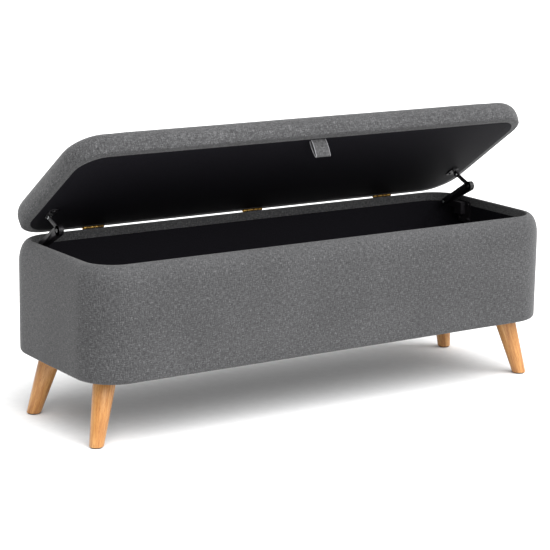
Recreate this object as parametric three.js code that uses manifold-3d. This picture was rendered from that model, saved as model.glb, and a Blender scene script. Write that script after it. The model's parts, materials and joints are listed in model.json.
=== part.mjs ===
// Upholstered storage bench: a long rounded box on four splayed wooden legs, with a
// padded lid that opens on three butt hinges and is held by two folding lid stays.
// Millimetres, +X to the right, +Y to the back (hinge side), +Z up. The scene graph
// stands with the lid part open, the way the bench is shown off.
import * as THREE from 'three';
import { mergeVertices } from 'three/addons/utils/BufferGeometryUtils.js';
import Module from 'manifold-3d';

const wasm = await Module();
wasm.setup();

// ---- driving dimensions -------------------------------------------------------------
const LENGTH = 1200;
const DEPTH = 408;
const CORNER = 88;               // plan radius of the box's upright corners
const BODY_BOTTOM = 141;
const BODY_TOP = 387;            // crest of the padded rim
const LID_GAP = 3;               // daylight between rim and closed lid
const LID_HEIGHT = 56;
const LID_INSET = 7.5;           // lid is this much smaller than the box all round
const LID_CROWN = 4;             // the seat's middle stands this much higher
const OPEN_ANGLE = 34.8;         // lid's resting angle, degrees

const GAP = 0.3;                 // clearance between touching pieces
const FABRIC = 1.5;
const WADDING = 7.7;             // foam sheet around the box
const PANEL = 15;                // side panels and base board
const LINING = 1;
const ARC_STEPS = 6;             // facets in a quarter turn

// Depths in from the outer face of the box, layer by layer.
const FOAM_OUT = FABRIC + GAP;
const PANEL_OUT = FOAM_OUT + WADDING + GAP;
const PANEL_IN = PANEL_OUT + PANEL;
const RETURN_OUT = PANEL_IN + GAP;
const RIM_IN = RETURN_OUT + FABRIC;

const RIM_CREST = RIM_IN - 3;    // how far in the padded rim is highest
const RIM_DROP = 48;             // height over which the rim rounds off
const RETURN_DROP = 20;          // cover turned down inside the rim
const BOTTOM_ROUND = 9.6;
const UNDER_TURN = 35;           // cover turned in under the base
const BASE_Z = BODY_BOTTOM + FABRIC + GAP;
const BASE_TOP = BASE_Z + PANEL;
const PANEL_TOP = BODY_TOP - 4.1;

const LID_Z = BODY_TOP + LID_GAP;
const LID_TOP = LID_Z + LID_HEIGHT;
const LID_LOWER_R = 12;          // rounding of the lid's lower and upper edges
const LID_UPPER_R = 33;
const LID_TURN = 22;             // cover turned in under the lid
const LID_BOARD_IN = 9.3;
const LID_BOARD_Z = LID_Z + FABRIC + GAP;
const LID_BOARD_TOP = LID_BOARD_Z + PANEL;

const HINGE_Y = DEPTH / 2 - 18;
const HINGE_Z = BODY_TOP + LID_GAP / 2;
const HINGE_X = [-394, 22, 394];
const HINGE_NAMES = ['left', 'middle', 'right'];
const BARREL_R = 4;
const PIN_R = 1.75;
const KNUCKLES = 5;
const HINGE_LENGTH = 50;
const BARREL_ROOM = 4.9;         // radius of the pocket around each barrel
const LEAF = 1.5;

const LEG_TOP = [533, 119.3];    // centre of a leg's top face, one corner
const LEG_FOOT = [567, 143.5];   // centre of its foot
const LEG_TOP_R = 24.6;
const LEG_FOOT_R = 15;
const DUST_Z = BODY_BOTTOM - 1.1;
const PLATE_TOP = DUST_Z - GAP;
const PLATE = 2.5;
const LEG_Z = PLATE_TOP - PLATE - GAP;
const GLIDE = 2;
const BOLT_R = 4;

// Lid stays: pivots in the YZ plane, lid closed. Wall pivot, elbow, lid pivot and hinge
// are the corners of a parallelogram, so the linkage closes exactly at every angle.
const STAY_X = 550;
const LID_PIVOT = [80, 379];
const ELBOW_OPEN = [44.5, 421];  // elbow with the lid at its resting angle

// ---- helpers ------------------------------------------------------------------------
const rad = THREE.MathUtils.degToRad;

const fabricMat = [0x66666a, 0.95, 0];
const blackMat = [0x141318, 0.95, 0];
const foamMat = [0xe6dfc0, 0.9, 0];
const boardMat = [0xb08d5e, 0.8, 0];
const oakMat = [0xd9a86c, 0.5, 0];
const brassMat = [0xa98c4f, 0.35, 1];
const blackSteelMat = [0x17161a, 0.45, 0.6];
const zincMat = [0xa9adb0, 0.4, 1];
const plasticMat = [0x1d1d1f, 0.6, 0];

const bench = new THREE.Group();
const lid = new THREE.Group();
const lidFrame = new THREE.Group();

function add(parent, name, geometry, [color, roughness, metalness]) {
  const flat = geometry.index ? geometry.toNonIndexed() : geometry;
  flat.computeVertexNormals();
  const material = new THREE.MeshStandardMaterial({ color, roughness, metalness });
  const mesh = new THREE.Mesh(flat, material);
  mesh.name = name;
  parent.add(mesh);
  return mesh;
}

function bare(geometry) {
  const copy = geometry.clone();
  copy.deleteAttribute('normal');
  copy.deleteAttribute('uv');
  return mergeVertices(copy, 1e-4);
}

function toSolid(geometry) {
  const g = bare(geometry);
  return new wasm.Manifold(new wasm.Mesh({
    numProp: 3,
    vertProperties: new Float32Array(g.attributes.position.array),
    triVerts: new Uint32Array(g.index.array),
  }));
}

function toGeometry(solid) {
  const mesh = solid.getMesh();
  const g = new THREE.BufferGeometry();
  g.setAttribute('position', new THREE.BufferAttribute(new Float32Array(mesh.vertProperties), 3));
  g.setIndex(new THREE.BufferAttribute(new Uint32Array(mesh.triVerts), 1));
  return g;
}

function cut(geometry, tools) {
  let solid = toSolid(geometry);
  for (const tool of tools) solid = solid.subtract(toSolid(tool));
  return toGeometry(solid);
}

function join(parts) {
  let solid = toSolid(parts[0]);
  for (const part of parts.slice(1)) solid = solid.add(toSolid(part));
  return toGeometry(solid);
}

function block(x0, x1, y0, y1, z0, z1) {
  const g = new THREE.BoxGeometry(x1 - x0, y1 - y0, z1 - z0);
  return g.translate((x0 + x1) / 2, (y0 + y1) / 2, (z0 + z1) / 2);
}

// Cylinder along X, from x0 to x1, about the line (y, z).
function rodX(x0, x1, y, z, radius, sides = 14) {
  const g = new THREE.CylinderGeometry(radius, radius, x1 - x0, sides);
  return g.rotateZ(Math.PI / 2).translate((x0 + x1) / 2, y, z);
}

function rodZ(x, y, z0, z1, radius, sides = 14) {
  const g = new THREE.CylinderGeometry(radius, radius, z1 - z0, sides);
  return g.rotateX(Math.PI / 2).translate(x, y, (z0 + z1) / 2);
}

function signedVolume(positions, index) {
  let sum = 0;
  const p = (i) => new THREE.Vector3().fromArray(positions, 3 * i);
  for (let i = 0; i < index.length; i += 3) {
    sum += p(index[i]).dot(p(index[i + 1]).cross(p(index[i + 2]))) / 6;
  }
  return sum;
}

function geometryFrom(positions, index) {
  if (signedVolume(positions, index) < 0) index.reverse();
  const g = new THREE.BufferGeometry();
  g.setAttribute('position', new THREE.Float32BufferAttribute(positions, 3));
  g.setIndex(index);
  return g;
}

// Stations round a rounded rectangle. Each knows its corner's centre and its outward
// normal, so a profile given as (depth in, height) can be laid on it.
function stations(length, depth, radius, corners = [0, 1, 2, 3]) {
  const list = [];
  for (const corner of corners) {
    const cx = (length / 2 - radius) * [1, -1, -1, 1][corner];
    const cy = (depth / 2 - radius) * [1, 1, -1, -1][corner];
    for (let i = 0; i <= ARC_STEPS; i++) {
      const a = (corner + i / ARC_STEPS) * Math.PI / 2;
      list.push({ cx, cy, nx: Math.cos(a), ny: Math.sin(a), radius });
    }
  }
  return list;
}

const place = (s, [d, z]) => [s.cx + (s.radius - d) * s.nx, s.cy + (s.radius - d) * s.ny, z];

function strip(index, rows, columns, wrapRows, wrapColumns) {
  for (let r = 0; r < (wrapRows ? rows : rows - 1); r++) {
    for (let c = 0; c < (wrapColumns ? columns : columns - 1); c++) {
      const a = r * columns + c;
      const b = r * columns + (c + 1) % columns;
      const e = ((r + 1) % rows) * columns + c;
      const f = ((r + 1) % rows) * columns + (c + 1) % columns;
      index.push(a, b, f, a, f, e);
    }
  }
}

// A closed profile carried all the way round the stations: a ring with a hole through it.
function ring(profile, list) {
  const positions = list.flatMap((s) => profile.flatMap((p) => place(s, p)));
  const index = [];
  strip(index, list.length, profile.length, true, true);
  return geometryFrom(positions, index);
}

// A closed profile carried along a few stations, its two ends closed flat.
function bar(profile, list) {
  const positions = list.flatMap((s) => profile.flatMap((p) => place(s, p)));
  const index = [];
  strip(index, list.length, profile.length, false, true);
  const flat = profile.map(([d, z]) => new THREE.Vector2(d, z));
  const last = (list.length - 1) * profile.length;
  const forward = !THREE.ShapeUtils.isClockWise(flat);
  for (const [a, b, c] of THREE.ShapeUtils.triangulateShape(flat, [])) {
    const tri = forward ? [a, b, c] : [c, b, a];
    index.push(...tri.slice().reverse(), ...tri.map((i) => i + last));
  }
  return geometryFrom(positions, index);
}

// An open profile whose first and last points are closed off by flat or gently
// pointed caps at the middle of the plan.
function slab(profile, list, firstZ, lastZ) {
  const positions = list.flatMap((s) => profile.flatMap((p) => place(s, p)));
  const index = [];
  strip(index, list.length, profile.length, true, false);
  const first = positions.length / 3;
  positions.push(0, 0, firstZ, 0, 0, lastZ);
  for (let r = 0; r < list.length; r++) {
    const here = r * profile.length;
    const next = ((r + 1) % list.length) * profile.length;
    index.push(first, here, next);
    index.push(first + 1, next + profile.length - 1, here + profile.length - 1);
  }
  return geometryFrom(positions, index);
}

// Quarter of an ellipse from angle 0 (outward) to 90 degrees (up), in profile space.
function arc(centreD, centreZ, radiusD, radiusZ, from, to, steps) {
  const points = [];
  for (let i = 0; i <= steps; i++) {
    const a = rad(from + (to - from) * i / steps);
    points.push([centreD - radiusD * Math.cos(a), centreZ + radiusZ * Math.sin(a)]);
  }
  return points;
}

const BOX = stations(LENGTH, DEPTH, CORNER);

// ---- box: boards --------------------------------------------------------------------
// Panel section: square below, with the top outer edge planed off under the padding.
const panelProfile = [
  [PANEL_OUT, BASE_TOP + GAP],
  [PANEL_IN, BASE_TOP + GAP],
  [PANEL_IN, PANEL_TOP],
  [PANEL_IN - 5.3, PANEL_TOP],
  [PANEL_OUT, PANEL_TOP - 10.9],
];

function straightPanel(normalX, normalY) {
  const along = (normalX ? DEPTH : LENGTH) / 2 - CORNER - GAP / 2;
  const list = [-1, 1].map((side) => ({
    cx: normalX ? normalX * (LENGTH / 2 - CORNER) : side * along,
    cy: normalY ? normalY * (DEPTH / 2 - CORNER) : side * along,
    nx: normalX,
    ny: normalY,
    radius: CORNER,
  }));
  return bar(panelProfile, list);
}

function cornerPanel(corner) {
  return bar(panelProfile, stations(LENGTH, DEPTH, CORNER, [corner]));
}

const legSigns = [
  ['front_left', -1, -1], ['front_right', 1, -1], ['back_left', -1, 1], ['back_right', 1, 1],
];

const boltHoles = (z0, z1) => legSigns.map(
  ([, sx, sy]) => rodZ(sx * LEG_TOP[0], sy * LEG_TOP[1], z0, z1, BOLT_R + GAP));

function baseBoard() {
  const profile = [[PANEL_OUT, BASE_Z], [PANEL_OUT, BASE_TOP]];
  return cut(slab(profile, BOX, BASE_Z, BASE_TOP), boltHoles(BASE_Z - 5, BASE_TOP + 5));
}

// ---- box: padding, cover and lining -------------------------------------------------
const barrelRoom = () => HINGE_X.map(
  (x) => rodX(x - HINGE_LENGTH / 2 - 2.6, x + HINGE_LENGTH / 2 + 2.6, HINGE_Y, HINGE_Z, BARREL_ROOM));

// Where the fabric and wadding part round the box leaf's shelf.
const leafRoom = () => HINGE_X.map((x) => block(
  x - HINGE_LENGTH / 2 - GAP, x + HINGE_LENGTH / 2 + GAP,
  DEPTH / 2 - PANEL_IN - GAP / 3, HINGE_Y + 2.2, PANEL_TOP - 4, HINGE_Z));

function boxFoam() {
  const profile = [
    [FOAM_OUT, BODY_BOTTOM + BOTTOM_ROUND],
    ...arc(RIM_CREST, BODY_TOP - RIM_DROP, RIM_CREST - FOAM_OUT, RIM_DROP - FOAM_OUT, 0, 90, 6),
    [PANEL_IN, BODY_TOP - 3.6],
    [PANEL_IN, PANEL_TOP + GAP],
    [PANEL_IN - 5.4, PANEL_TOP + GAP],
    [PANEL_OUT - GAP, PANEL_TOP - 10.6],
    [PANEL_OUT - GAP, BODY_BOTTOM + BOTTOM_ROUND],
  ];
  return cut(ring(profile, BOX), [...barrelRoom(), ...leafRoom()]);
}

function boxCover() {
  const fillet = 3;
  const profile = [
    [UNDER_TURN, BODY_BOTTOM],
    ...arc(BOTTOM_ROUND, BODY_BOTTOM + BOTTOM_ROUND, BOTTOM_ROUND, BOTTOM_ROUND, -90, 0, 3),
    ...arc(RIM_CREST, BODY_TOP - RIM_DROP, RIM_CREST, RIM_DROP, 0, 90, 6),
    ...arc(RIM_CREST, BODY_TOP - fillet, fillet, fillet, 120, 180, 2),
    [RIM_IN, BODY_TOP - RETURN_DROP],
    [RETURN_OUT, BODY_TOP - RETURN_DROP],
    ...arc(RIM_CREST, BODY_TOP - fillet, fillet - FABRIC, fillet - FABRIC, 180, 120, 2),
    ...arc(RIM_CREST, BODY_TOP - RIM_DROP, RIM_CREST - FABRIC, RIM_DROP - FABRIC, 90, 0, 6),
    ...arc(BOTTOM_ROUND, BODY_BOTTOM + BOTTOM_ROUND,
      BOTTOM_ROUND - FABRIC, BOTTOM_ROUND - FABRIC, 0, -90, 3),
    [UNDER_TURN, BODY_BOTTOM + FABRIC],
  ];
  return cut(ring(profile, BOX), [...barrelRoom(), ...leafRoom()]);
}

function wallLining() {
  const top = BODY_TOP - RETURN_DROP - GAP;
  const bottom = BASE_TOP + LINING + 2 * GAP;
  return ring([
    [RETURN_OUT, bottom], [RETURN_OUT + LINING, bottom],
    [RETURN_OUT + LINING, top], [RETURN_OUT, top],
  ], BOX);
}

function floorLining() {
  const z0 = BASE_TOP + GAP;
  return slab([[RETURN_OUT, z0], [RETURN_OUT, z0 + LINING]], BOX, z0, z0 + LINING);
}

function dustCover() {
  const profile = [[UNDER_TURN - 8, DUST_Z], [UNDER_TURN - 8, DUST_Z + 0.8]];
  return cut(slab(profile, BOX, DUST_Z, DUST_Z + 0.8), boltHoles(DUST_Z - 5, DUST_Z + 5));
}

add(bench, 'base_board', baseBoard(), boardMat);
// The hinges' box leaves are let into the back panel's top inner edge.
const leafMortises = HINGE_X.map((x) => block(
  x - HINGE_LENGTH / 2 - GAP, x + HINGE_LENGTH / 2 + GAP,
  DEPTH / 2 - PANEL_IN - 1, DEPTH / 2 - PANEL_IN + LEAF + 2 * GAP, PANEL_TOP - 32, PANEL_TOP + 1));
add(bench, 'front_panel', straightPanel(0, -1), boardMat);
add(bench, 'back_panel', cut(straightPanel(0, 1), leafMortises), boardMat);
add(bench, 'left_panel', straightPanel(-1, 0), boardMat);
add(bench, 'right_panel', straightPanel(1, 0), boardMat);
['back_right', 'back_left', 'front_left', 'front_right'].forEach((name, corner) => {
  add(bench, `${name}_corner`, cornerPanel(corner), boardMat);
});
add(bench, 'box_wadding', boxFoam(), foamMat);
add(bench, 'box_cover', boxCover(), fabricMat);
add(bench, 'wall_lining', wallLining(), blackMat);
add(bench, 'floor_lining', floorLining(), blackMat);
add(bench, 'dust_cover', dustCover(), blackMat);

// ---- legs ---------------------------------------------------------------------------
// A turned taper, tilted outwards and sawn level at both ends, bored for its bolt.
function leg(sx, sy) {
  const foot = new THREE.Vector3(sx * LEG_FOOT[0], sy * LEG_FOOT[1], 0);
  const top = new THREE.Vector3(sx * LEG_TOP[0], sy * LEG_TOP[1], LEG_Z);
  const axis = top.clone().sub(foot);
  const length = axis.length();
  axis.normalize();
  const spare = 10;
  const slope = (LEG_TOP_R - LEG_FOOT_R) / length;
  const taper = new THREE.CylinderGeometry(
    LEG_TOP_R + slope * spare, LEG_FOOT_R - slope * spare, length + 2 * spare, 24);
  taper.applyQuaternion(new THREE.Quaternion().setFromUnitVectors(new THREE.Vector3(0, 1, 0), axis));
  const middle = foot.clone().add(top).multiplyScalar(0.5);
  taper.translate(middle.x, middle.y, middle.z);
  const level = block(middle.x - 90, middle.x + 90, middle.y - 90, middle.y + 90, GLIDE + GAP, LEG_Z);
  const sawn = toGeometry(toSolid(taper).intersect(toSolid(level)));
  return cut(sawn, [rodZ(top.x, top.y, LEG_Z - 42, LEG_Z + 5, BOLT_R + GAP)]);
}

function legPlate(sx, sy) {
  const half = 32;
  const corner = 9;
  const shape = new THREE.Shape();
  shape.moveTo(half, half - corner);
  for (let i = 0; i < 4; i++) {
    const a = i * Math.PI / 2;
    const x = (half - corner) * [1, -1, -1, 1][i];
    const y = (half - corner) * [1, 1, -1, -1][i];
    shape.absarc(x, y, corner, a, a + Math.PI / 2, false);
  }
  const hole = new THREE.Path().absarc(0, 0, BOLT_R + GAP, 0, 2 * Math.PI, true);
  shape.holes.push(hole);
  const g = new THREE.ExtrudeGeometry(shape, { depth: PLATE, bevelEnabled: false, curveSegments: 5 });
  return g.translate(sx * LEG_TOP[0], sy * LEG_TOP[1], PLATE_TOP - PLATE);
}

for (const [name, sx, sy] of legSigns) {
  const [x, y] = [sx * LEG_TOP[0], sy * LEG_TOP[1]];
  add(bench, `${name}_leg`, leg(sx, sy), oakMat);
  add(bench, `${name}_leg_plate`, legPlate(sx, sy), blackSteelMat);
  add(bench, `${name}_hanger_bolt`, rodZ(x, y, LEG_Z - 40, BASE_TOP - 1, BOLT_R, 12), zincMat);
  const glide = rodZ(sx * LEG_FOOT[0], sy * LEG_FOOT[1], 0, GLIDE, LEG_FOOT_R - 3, 20);
  add(bench, `${name}_glide`, glide, plasticMat);
}

// ---- hinges -------------------------------------------------------------------------
function knuckles(x, odd) {
  const pitch = HINGE_LENGTH / KNUCKLES;
  const list = [];
  for (let i = 0; i < KNUCKLES; i++) {
    if (i % 2 === odd) continue;
    const x0 = x - HINGE_LENGTH / 2 + i * pitch + GAP / 2;
    list.push(rodX(x0, x0 + pitch - GAP, HINGE_Y, HINGE_Z, BARREL_R, 12));
  }
  return list;
}

// The space that the other leaf's knuckles turn in.
function knuckleRoom(x, odd) {
  const pitch = HINGE_LENGTH / KNUCKLES;
  const list = [];
  for (let i = 0; i < KNUCKLES; i++) {
    if (i % 2 !== odd) continue;
    const x0 = x - HINGE_LENGTH / 2 + i * pitch;
    list.push(rodX(x0 - GAP / 2, x0 + pitch + GAP / 2, HINGE_Y, HINGE_Z, BARREL_R + GAP, 12));
  }
  return list;
}

const pinBore = (x) => rodX(x - 40, x + 40, HINGE_Y, HINGE_Z, PIN_R + GAP, 10);

function boxLeaf(x) {
  const [x0, x1] = [x - HINGE_LENGTH / 2, x + HINGE_LENGTH / 2];
  const inner = DEPTH / 2 - PANEL_IN + GAP;
  const top = HINGE_Z - BARREL_R + 0.6;
  const upright = block(x0, x1, inner, inner + LEAF, PANEL_TOP - 30, top);
  const shelf = block(x0, x1, inner, HINGE_Y + 1.5, top - LEAF, top);
  const plate = cut(join([upright, shelf]), knuckleRoom(x, 1));
  return cut(join([plate, ...knuckles(x, 1)]), [pinBore(x)]);
}

function lidLeaf(x) {
  const bottom = LID_BOARD_Z;
  const plate = cut(
    block(x - HINGE_LENGTH / 2, x + HINGE_LENGTH / 2, HINGE_Y - 26, HINGE_Y + 1.5, bottom, bottom + LEAF),
    knuckleRoom(x, 0));
  return cut(join([plate, ...knuckles(x, 0)]), [pinBore(x)]);
}

function hingePin(x) {
  const half = HINGE_LENGTH / 2;
  const outline = [
    [0, -half - 1.4], [1.6, -half - 1.4], [2.8, -half - 0.9], [2.8, -half - GAP], [PIN_R, -half - GAP],
    [PIN_R, half + GAP], [2.8, half + GAP], [2.8, half + 0.9], [1.6, half + 1.4], [0, half + 1.4],
  ].map(([r, z]) => new THREE.Vector2(r, z));
  const g = new THREE.LatheGeometry(outline, 10);
  return g.rotateZ(Math.PI / 2).translate(x, HINGE_Y, HINGE_Z);
}

// ---- lid ----------------------------------------------------------------------------
const LID_PLAN = stations(LENGTH - 2 * LID_INSET, DEPTH - 2 * LID_INSET, CORNER - LID_INSET);

// The crowned seat inside the rounded edge, at a given depth under the outer surface.
const crown = (under) => [
  [50, LID_TOP + 0.5 * LID_CROWN - under],
  [74, LID_TOP + 0.85 * LID_CROWN - under],
];

function lidBoard() {
  const chamfer = 4;
  const profile = [
    [LID_BOARD_IN + chamfer, LID_BOARD_Z],
    [LID_BOARD_IN, LID_BOARD_Z + chamfer],
    [LID_BOARD_IN, LID_BOARD_TOP],
  ];
  const mortises = HINGE_X.map((x) => block(
    x - HINGE_LENGTH / 2 - GAP, x + HINGE_LENGTH / 2 + GAP,
    HINGE_Y - 26.5, HINGE_Y + 2, LID_BOARD_Z - 1, LID_BOARD_Z + LEAF + GAP));
  return cut(slab(profile, LID_PLAN, LID_BOARD_Z, LID_BOARD_TOP), [...mortises, ...barrelRoom()]);
}

function lidFoam() {
  const under = FABRIC + GAP;
  const profile = [
    [LID_BOARD_IN - GAP, LID_BOARD_TOP + GAP],
    [LID_BOARD_IN - GAP, LID_Z + 6],
    ...arc(LID_LOWER_R, LID_Z + LID_LOWER_R, LID_LOWER_R - under, LID_LOWER_R - under, -30, 0, 1),
    ...arc(LID_UPPER_R, LID_TOP - LID_UPPER_R, LID_UPPER_R - under, LID_UPPER_R - under, 0, 90, 6),
    ...crown(under),
  ];
  return slab(profile, LID_PLAN, LID_BOARD_TOP + GAP, LID_TOP + LID_CROWN - under);
}

function lidCover() {
  const skin = (inset) => [
    ...arc(LID_LOWER_R, LID_Z + LID_LOWER_R, LID_LOWER_R - inset, LID_LOWER_R - inset, -90, 0, 3),
    ...arc(LID_UPPER_R, LID_TOP - LID_UPPER_R, LID_UPPER_R - inset, LID_UPPER_R - inset, 0, 90, 6),
    ...crown(inset),
  ];
  const profile = [
    ...skin(0).reverse(),
    [LID_TURN, LID_Z],
    [LID_TURN, LID_Z + FABRIC],
    ...skin(FABRIC),
  ];
  const top = LID_TOP + LID_CROWN;
  return cut(slab(profile, LID_PLAN, top, top - FABRIC), barrelRoom());
}

function lidLining() {
  const z0 = LID_Z + 0.3;
  const profile = [[LID_TURN + GAP, z0], [LID_TURN + GAP, z0 + LINING]];
  return slab(profile, LID_PLAN, z0, z0 + LINING);
}

// A folded strap of the cover fabric, its two ends under the lid's front edge.
function pullTab() {
  const width = 38;
  const frontY = -DEPTH / 2 + 31;
  const top = LID_Z - 0.1;
  const drop = 41;
  const thick = 1.8;
  const shape = new THREE.Shape();
  shape.moveTo(frontY, top);
  shape.bezierCurveTo(frontY - 2, top - 14, frontY - 1, top - 28, frontY + 3, top - drop + 2);
  shape.quadraticCurveTo(frontY + 5.5, top - drop - 1, frontY + 8, top - drop + 2);
  shape.bezierCurveTo(frontY + 12.5, top - 28, frontY + 13, top - 14, frontY + 10, top);
  shape.lineTo(frontY + 10 - thick, top);
  shape.bezierCurveTo(frontY + 13 - thick, top - 14, frontY + 12.3 - thick, top - 27,
    frontY + 6.5, top - drop + 3.5);
  shape.quadraticCurveTo(frontY + 5.5, top - drop + 1.6, frontY + 4.5, top - drop + 3.5);
  shape.bezierCurveTo(frontY - 0.8 + thick, top - 27, frontY - 2 + thick, top - 14, frontY + thick, top);
  const g = new THREE.ExtrudeGeometry(shape, { depth: width, bevelEnabled: false, curveSegments: 7 });
  // Shape (y, z) with depth along x.
  const turn = new THREE.Matrix4().makeBasis(
    new THREE.Vector3(0, 1, 0), new THREE.Vector3(0, 0, 1), new THREE.Vector3(1, 0, 0));
  return g.applyMatrix4(turn).translate(-width / 2, 0, 0);
}

// The lid's pieces are drawn closed and turn open together about the hinge line.
lid.position.set(0, HINGE_Y, HINGE_Z);
lid.rotation.x = -rad(OPEN_ANGLE);
lidFrame.position.set(0, -HINGE_Y, -HINGE_Z);
lid.add(lidFrame);
bench.add(lid);

add(lidFrame, 'lid_board', lidBoard(), boardMat);
add(lidFrame, 'seat_foam', lidFoam(), foamMat);
add(lidFrame, 'lid_cover', lidCover(), fabricMat);
add(lidFrame, 'lid_lining', lidLining(), blackMat);
add(lidFrame, 'pull_tab', pullTab(), fabricMat);

HINGE_X.forEach((x, i) => {
  add(bench, `${HINGE_NAMES[i]}_hinge_box_leaf`, boxLeaf(x), brassMat);
  add(bench, `${HINGE_NAMES[i]}_hinge_pin`, hingePin(x), brassMat);
  add(lidFrame, `${HINGE_NAMES[i]}_hinge_lid_leaf`, lidLeaf(x), brassMat);
});

// ---- lid stays ----------------------------------------------------------------------
// A point that turns with the lid, from closed to the resting angle.
function opened([y, z]) {
  const a = rad(OPEN_ANGLE);
  const [dy, dz] = [y - HINGE_Y, z - HINGE_Z];
  return [
    HINGE_Y + dy * Math.cos(a) + dz * Math.sin(a),
    HINGE_Z - dy * Math.sin(a) + dz * Math.cos(a),
  ];
}

const lidPivotOpen = opened(LID_PIVOT);
const wallPivot = [
  ELBOW_OPEN[0] - (lidPivotOpen[0] - HINGE_Y),
  ELBOW_OPEN[1] - (lidPivotOpen[1] - HINGE_Z),
];

const RIVET_R = 2.5;
const ARM = 2.4;                 // thickness of the upper arm and of the lid bracket's ear
const CHEEK = 1.6;
const CHANNEL = 10.8;            // width of the lower arm's channel outside

// A flat link with round ends between two pivots, standing in a YZ plane.
function link(a, b, radiusA, radiusB, x0, x1) {
  const angle = Math.atan2(b[1] - a[1], b[0] - a[0]);
  const length = Math.hypot(b[0] - a[0], b[1] - a[1]);
  const lean = Math.asin((radiusA - radiusB) / length);
  const shape = new THREE.Shape();
  shape.absarc(0, 0, radiusA, Math.PI / 2 - lean, 3 * Math.PI / 2 + lean, false);
  shape.absarc(length, 0, radiusB, -Math.PI / 2 + lean, Math.PI / 2 - lean, false);
  const g = new THREE.ExtrudeGeometry(shape, { depth: x1 - x0, bevelEnabled: false, curveSegments: 6 });
  g.rotateZ(angle);
  const turn = new THREE.Matrix4().makeBasis(
    new THREE.Vector3(0, 1, 0), new THREE.Vector3(0, 0, 1), new THREE.Vector3(1, 0, 0));
  return g.applyMatrix4(turn).translate(x0, a[0], a[1]);
}

function rivet(x0, x1, [y, z], headOut, radius = RIVET_R) {
  return join([
    rodX(x0, x1, y, z, radius, 10),
    rodX(x0 - headOut, x0, y, z, radius + 1.8, 12),
    rodX(x1, x1 + headOut, y, z, radius + 1.8, 12),
  ]);
}

// Lower arm: a pressed channel, open upwards, deeper at the elbow.
function lowerArm() {
  const x0 = STAY_X - CHANNEL / 2;
  const x1 = STAY_X + CHANNEL / 2;
  const outer = link(wallPivot, ELBOW_OPEN, 7.5, 11, x0, x1);
  const angle = Math.atan2(ELBOW_OPEN[1] - wallPivot[1], ELBOW_OPEN[0] - wallPivot[0]);
  const length = Math.hypot(ELBOW_OPEN[0] - wallPivot[0], ELBOW_OPEN[1] - wallPivot[1]);
  // Trough between the cheeks, from a floor below the pivots up through the top.
  const trough = new THREE.BoxGeometry(CHANNEL - 2 * CHEEK, length + 60, 60);
  trough.translate(0, length / 2, -30 + 6);
  trough.rotateX(angle);
  trough.translate(STAY_X, wallPivot[0], wallPivot[1]);
  const holes = [wallPivot, ELBOW_OPEN].map(([y, z]) => rodX(x0 - 5, x1 + 5, y, z, RIVET_R + GAP, 10));
  return cut(outer, [trough, ...holes]);
}

function upperArm() {
  const x0 = STAY_X - ARM / 2;
  const arm = link(ELBOW_OPEN, lidPivotOpen, 5, 4.6, x0, x0 + ARM);
  const holes = [ELBOW_OPEN, lidPivotOpen].map(([y, z]) => rodX(x0 - 5, x0 + 8, y, z, RIVET_R + GAP, 10));
  return cut(arm, holes);
}

// Lid bracket, drawn with the lid closed: screw flange and a downward ear.
function lidBracket() {
  const earOut = STAY_X - ARM / 2 - GAP;
  const earIn = earOut - ARM;
  const top = LID_Z - 0.1;
  const [y, z] = LID_PIVOT;
  const flange = block(earIn - 17, earOut, y - 16, y + 16, top - 1.8, top);
  const ear = join([
    rodX(earIn, earOut, y, z, 6, 20),
    block(earIn, earOut, y - 6, y + 6, z, top - 0.9),
  ]);
  const screws = [-7.5, 7.5].map((dy) => rodZ(earIn - 9, y + dy, top - 4, top - 1.7, 3.8, 16));
  return cut(join([flange, ear, ...screws]), [rodX(earIn - 5, earOut + 5, y, z, RIVET_R + GAP / 3, 10)]);
}

// Wall bracket: a flange screwed to the end wall, a stand-off box and a stepped ear.
function wallBracket() {
  const wall = LENGTH / 2 - RIM_IN - GAP;
  const earIn = STAY_X + CHANNEL / 2 + 1.6;
  const [y, z] = wallPivot;
  const flange = block(wall - 2, wall, 66, 112, z - 44, z + 8);
  const standoff = block(earIn, wall - 1, 84, 108, z - 24, z + 5);
  const ear = join([
    rodX(earIn, earIn + 3, y, z, 9, 24),
    block(earIn, earIn + 3, 90, y, z - 9, z + 5),
  ]);
  const screws = [[74, z - 36], [104, z - 36], [74, z]].map(([sy, sz]) => rodX(wall - 3.6, wall - 1.9, sy, sz, 4, 16));
  return cut(join([flange, standoff, ear, ...screws]), [rodX(earIn - 5, earIn + 4, y, z, RIVET_R + GAP, 10)]);
}

function mirrored(geometry, side) {
  if (side > 0) return geometry;
  const g = geometry.index ? geometry.clone() : bare(geometry);
  g.scale(-1, 1, 1);
  g.setIndex(Array.from(g.index.array).reverse());
  return g;
}

for (const [name, side] of [['left', -1], ['right', 1]]) {
  const half = CHANNEL / 2;
  const ear = STAY_X - ARM / 2 - GAP - ARM;
  const wallEar = STAY_X + half + 1.6;
  const pieces = [
    [bench, 'stay_wall_bracket', wallBracket(), blackSteelMat],
    [bench, 'stay_wall_pin', rivet(STAY_X - half - GAP, wallEar + 3 + GAP, wallPivot, 1.2), zincMat],
    [bench, 'stay_lower_arm', lowerArm(), blackSteelMat],
    [bench, 'stay_elbow_rivet', rivet(STAY_X - half - GAP, STAY_X + half + GAP, ELBOW_OPEN, 1.2),
      blackSteelMat],
    [bench, 'stay_upper_arm', upperArm(), blackSteelMat],
    [lidFrame, 'stay_lid_bracket', lidBracket(), blackSteelMat],
    [lidFrame, 'stay_lid_rivet', rivet(ear - GAP, STAY_X + ARM / 2 + GAP, LID_PIVOT, 1.2), zincMat],
  ];
  for (const [parent, part, geometry, material] of pieces) {
    add(parent, `${name}_${part}`, mirrored(geometry, side), material);
  }
}

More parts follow.
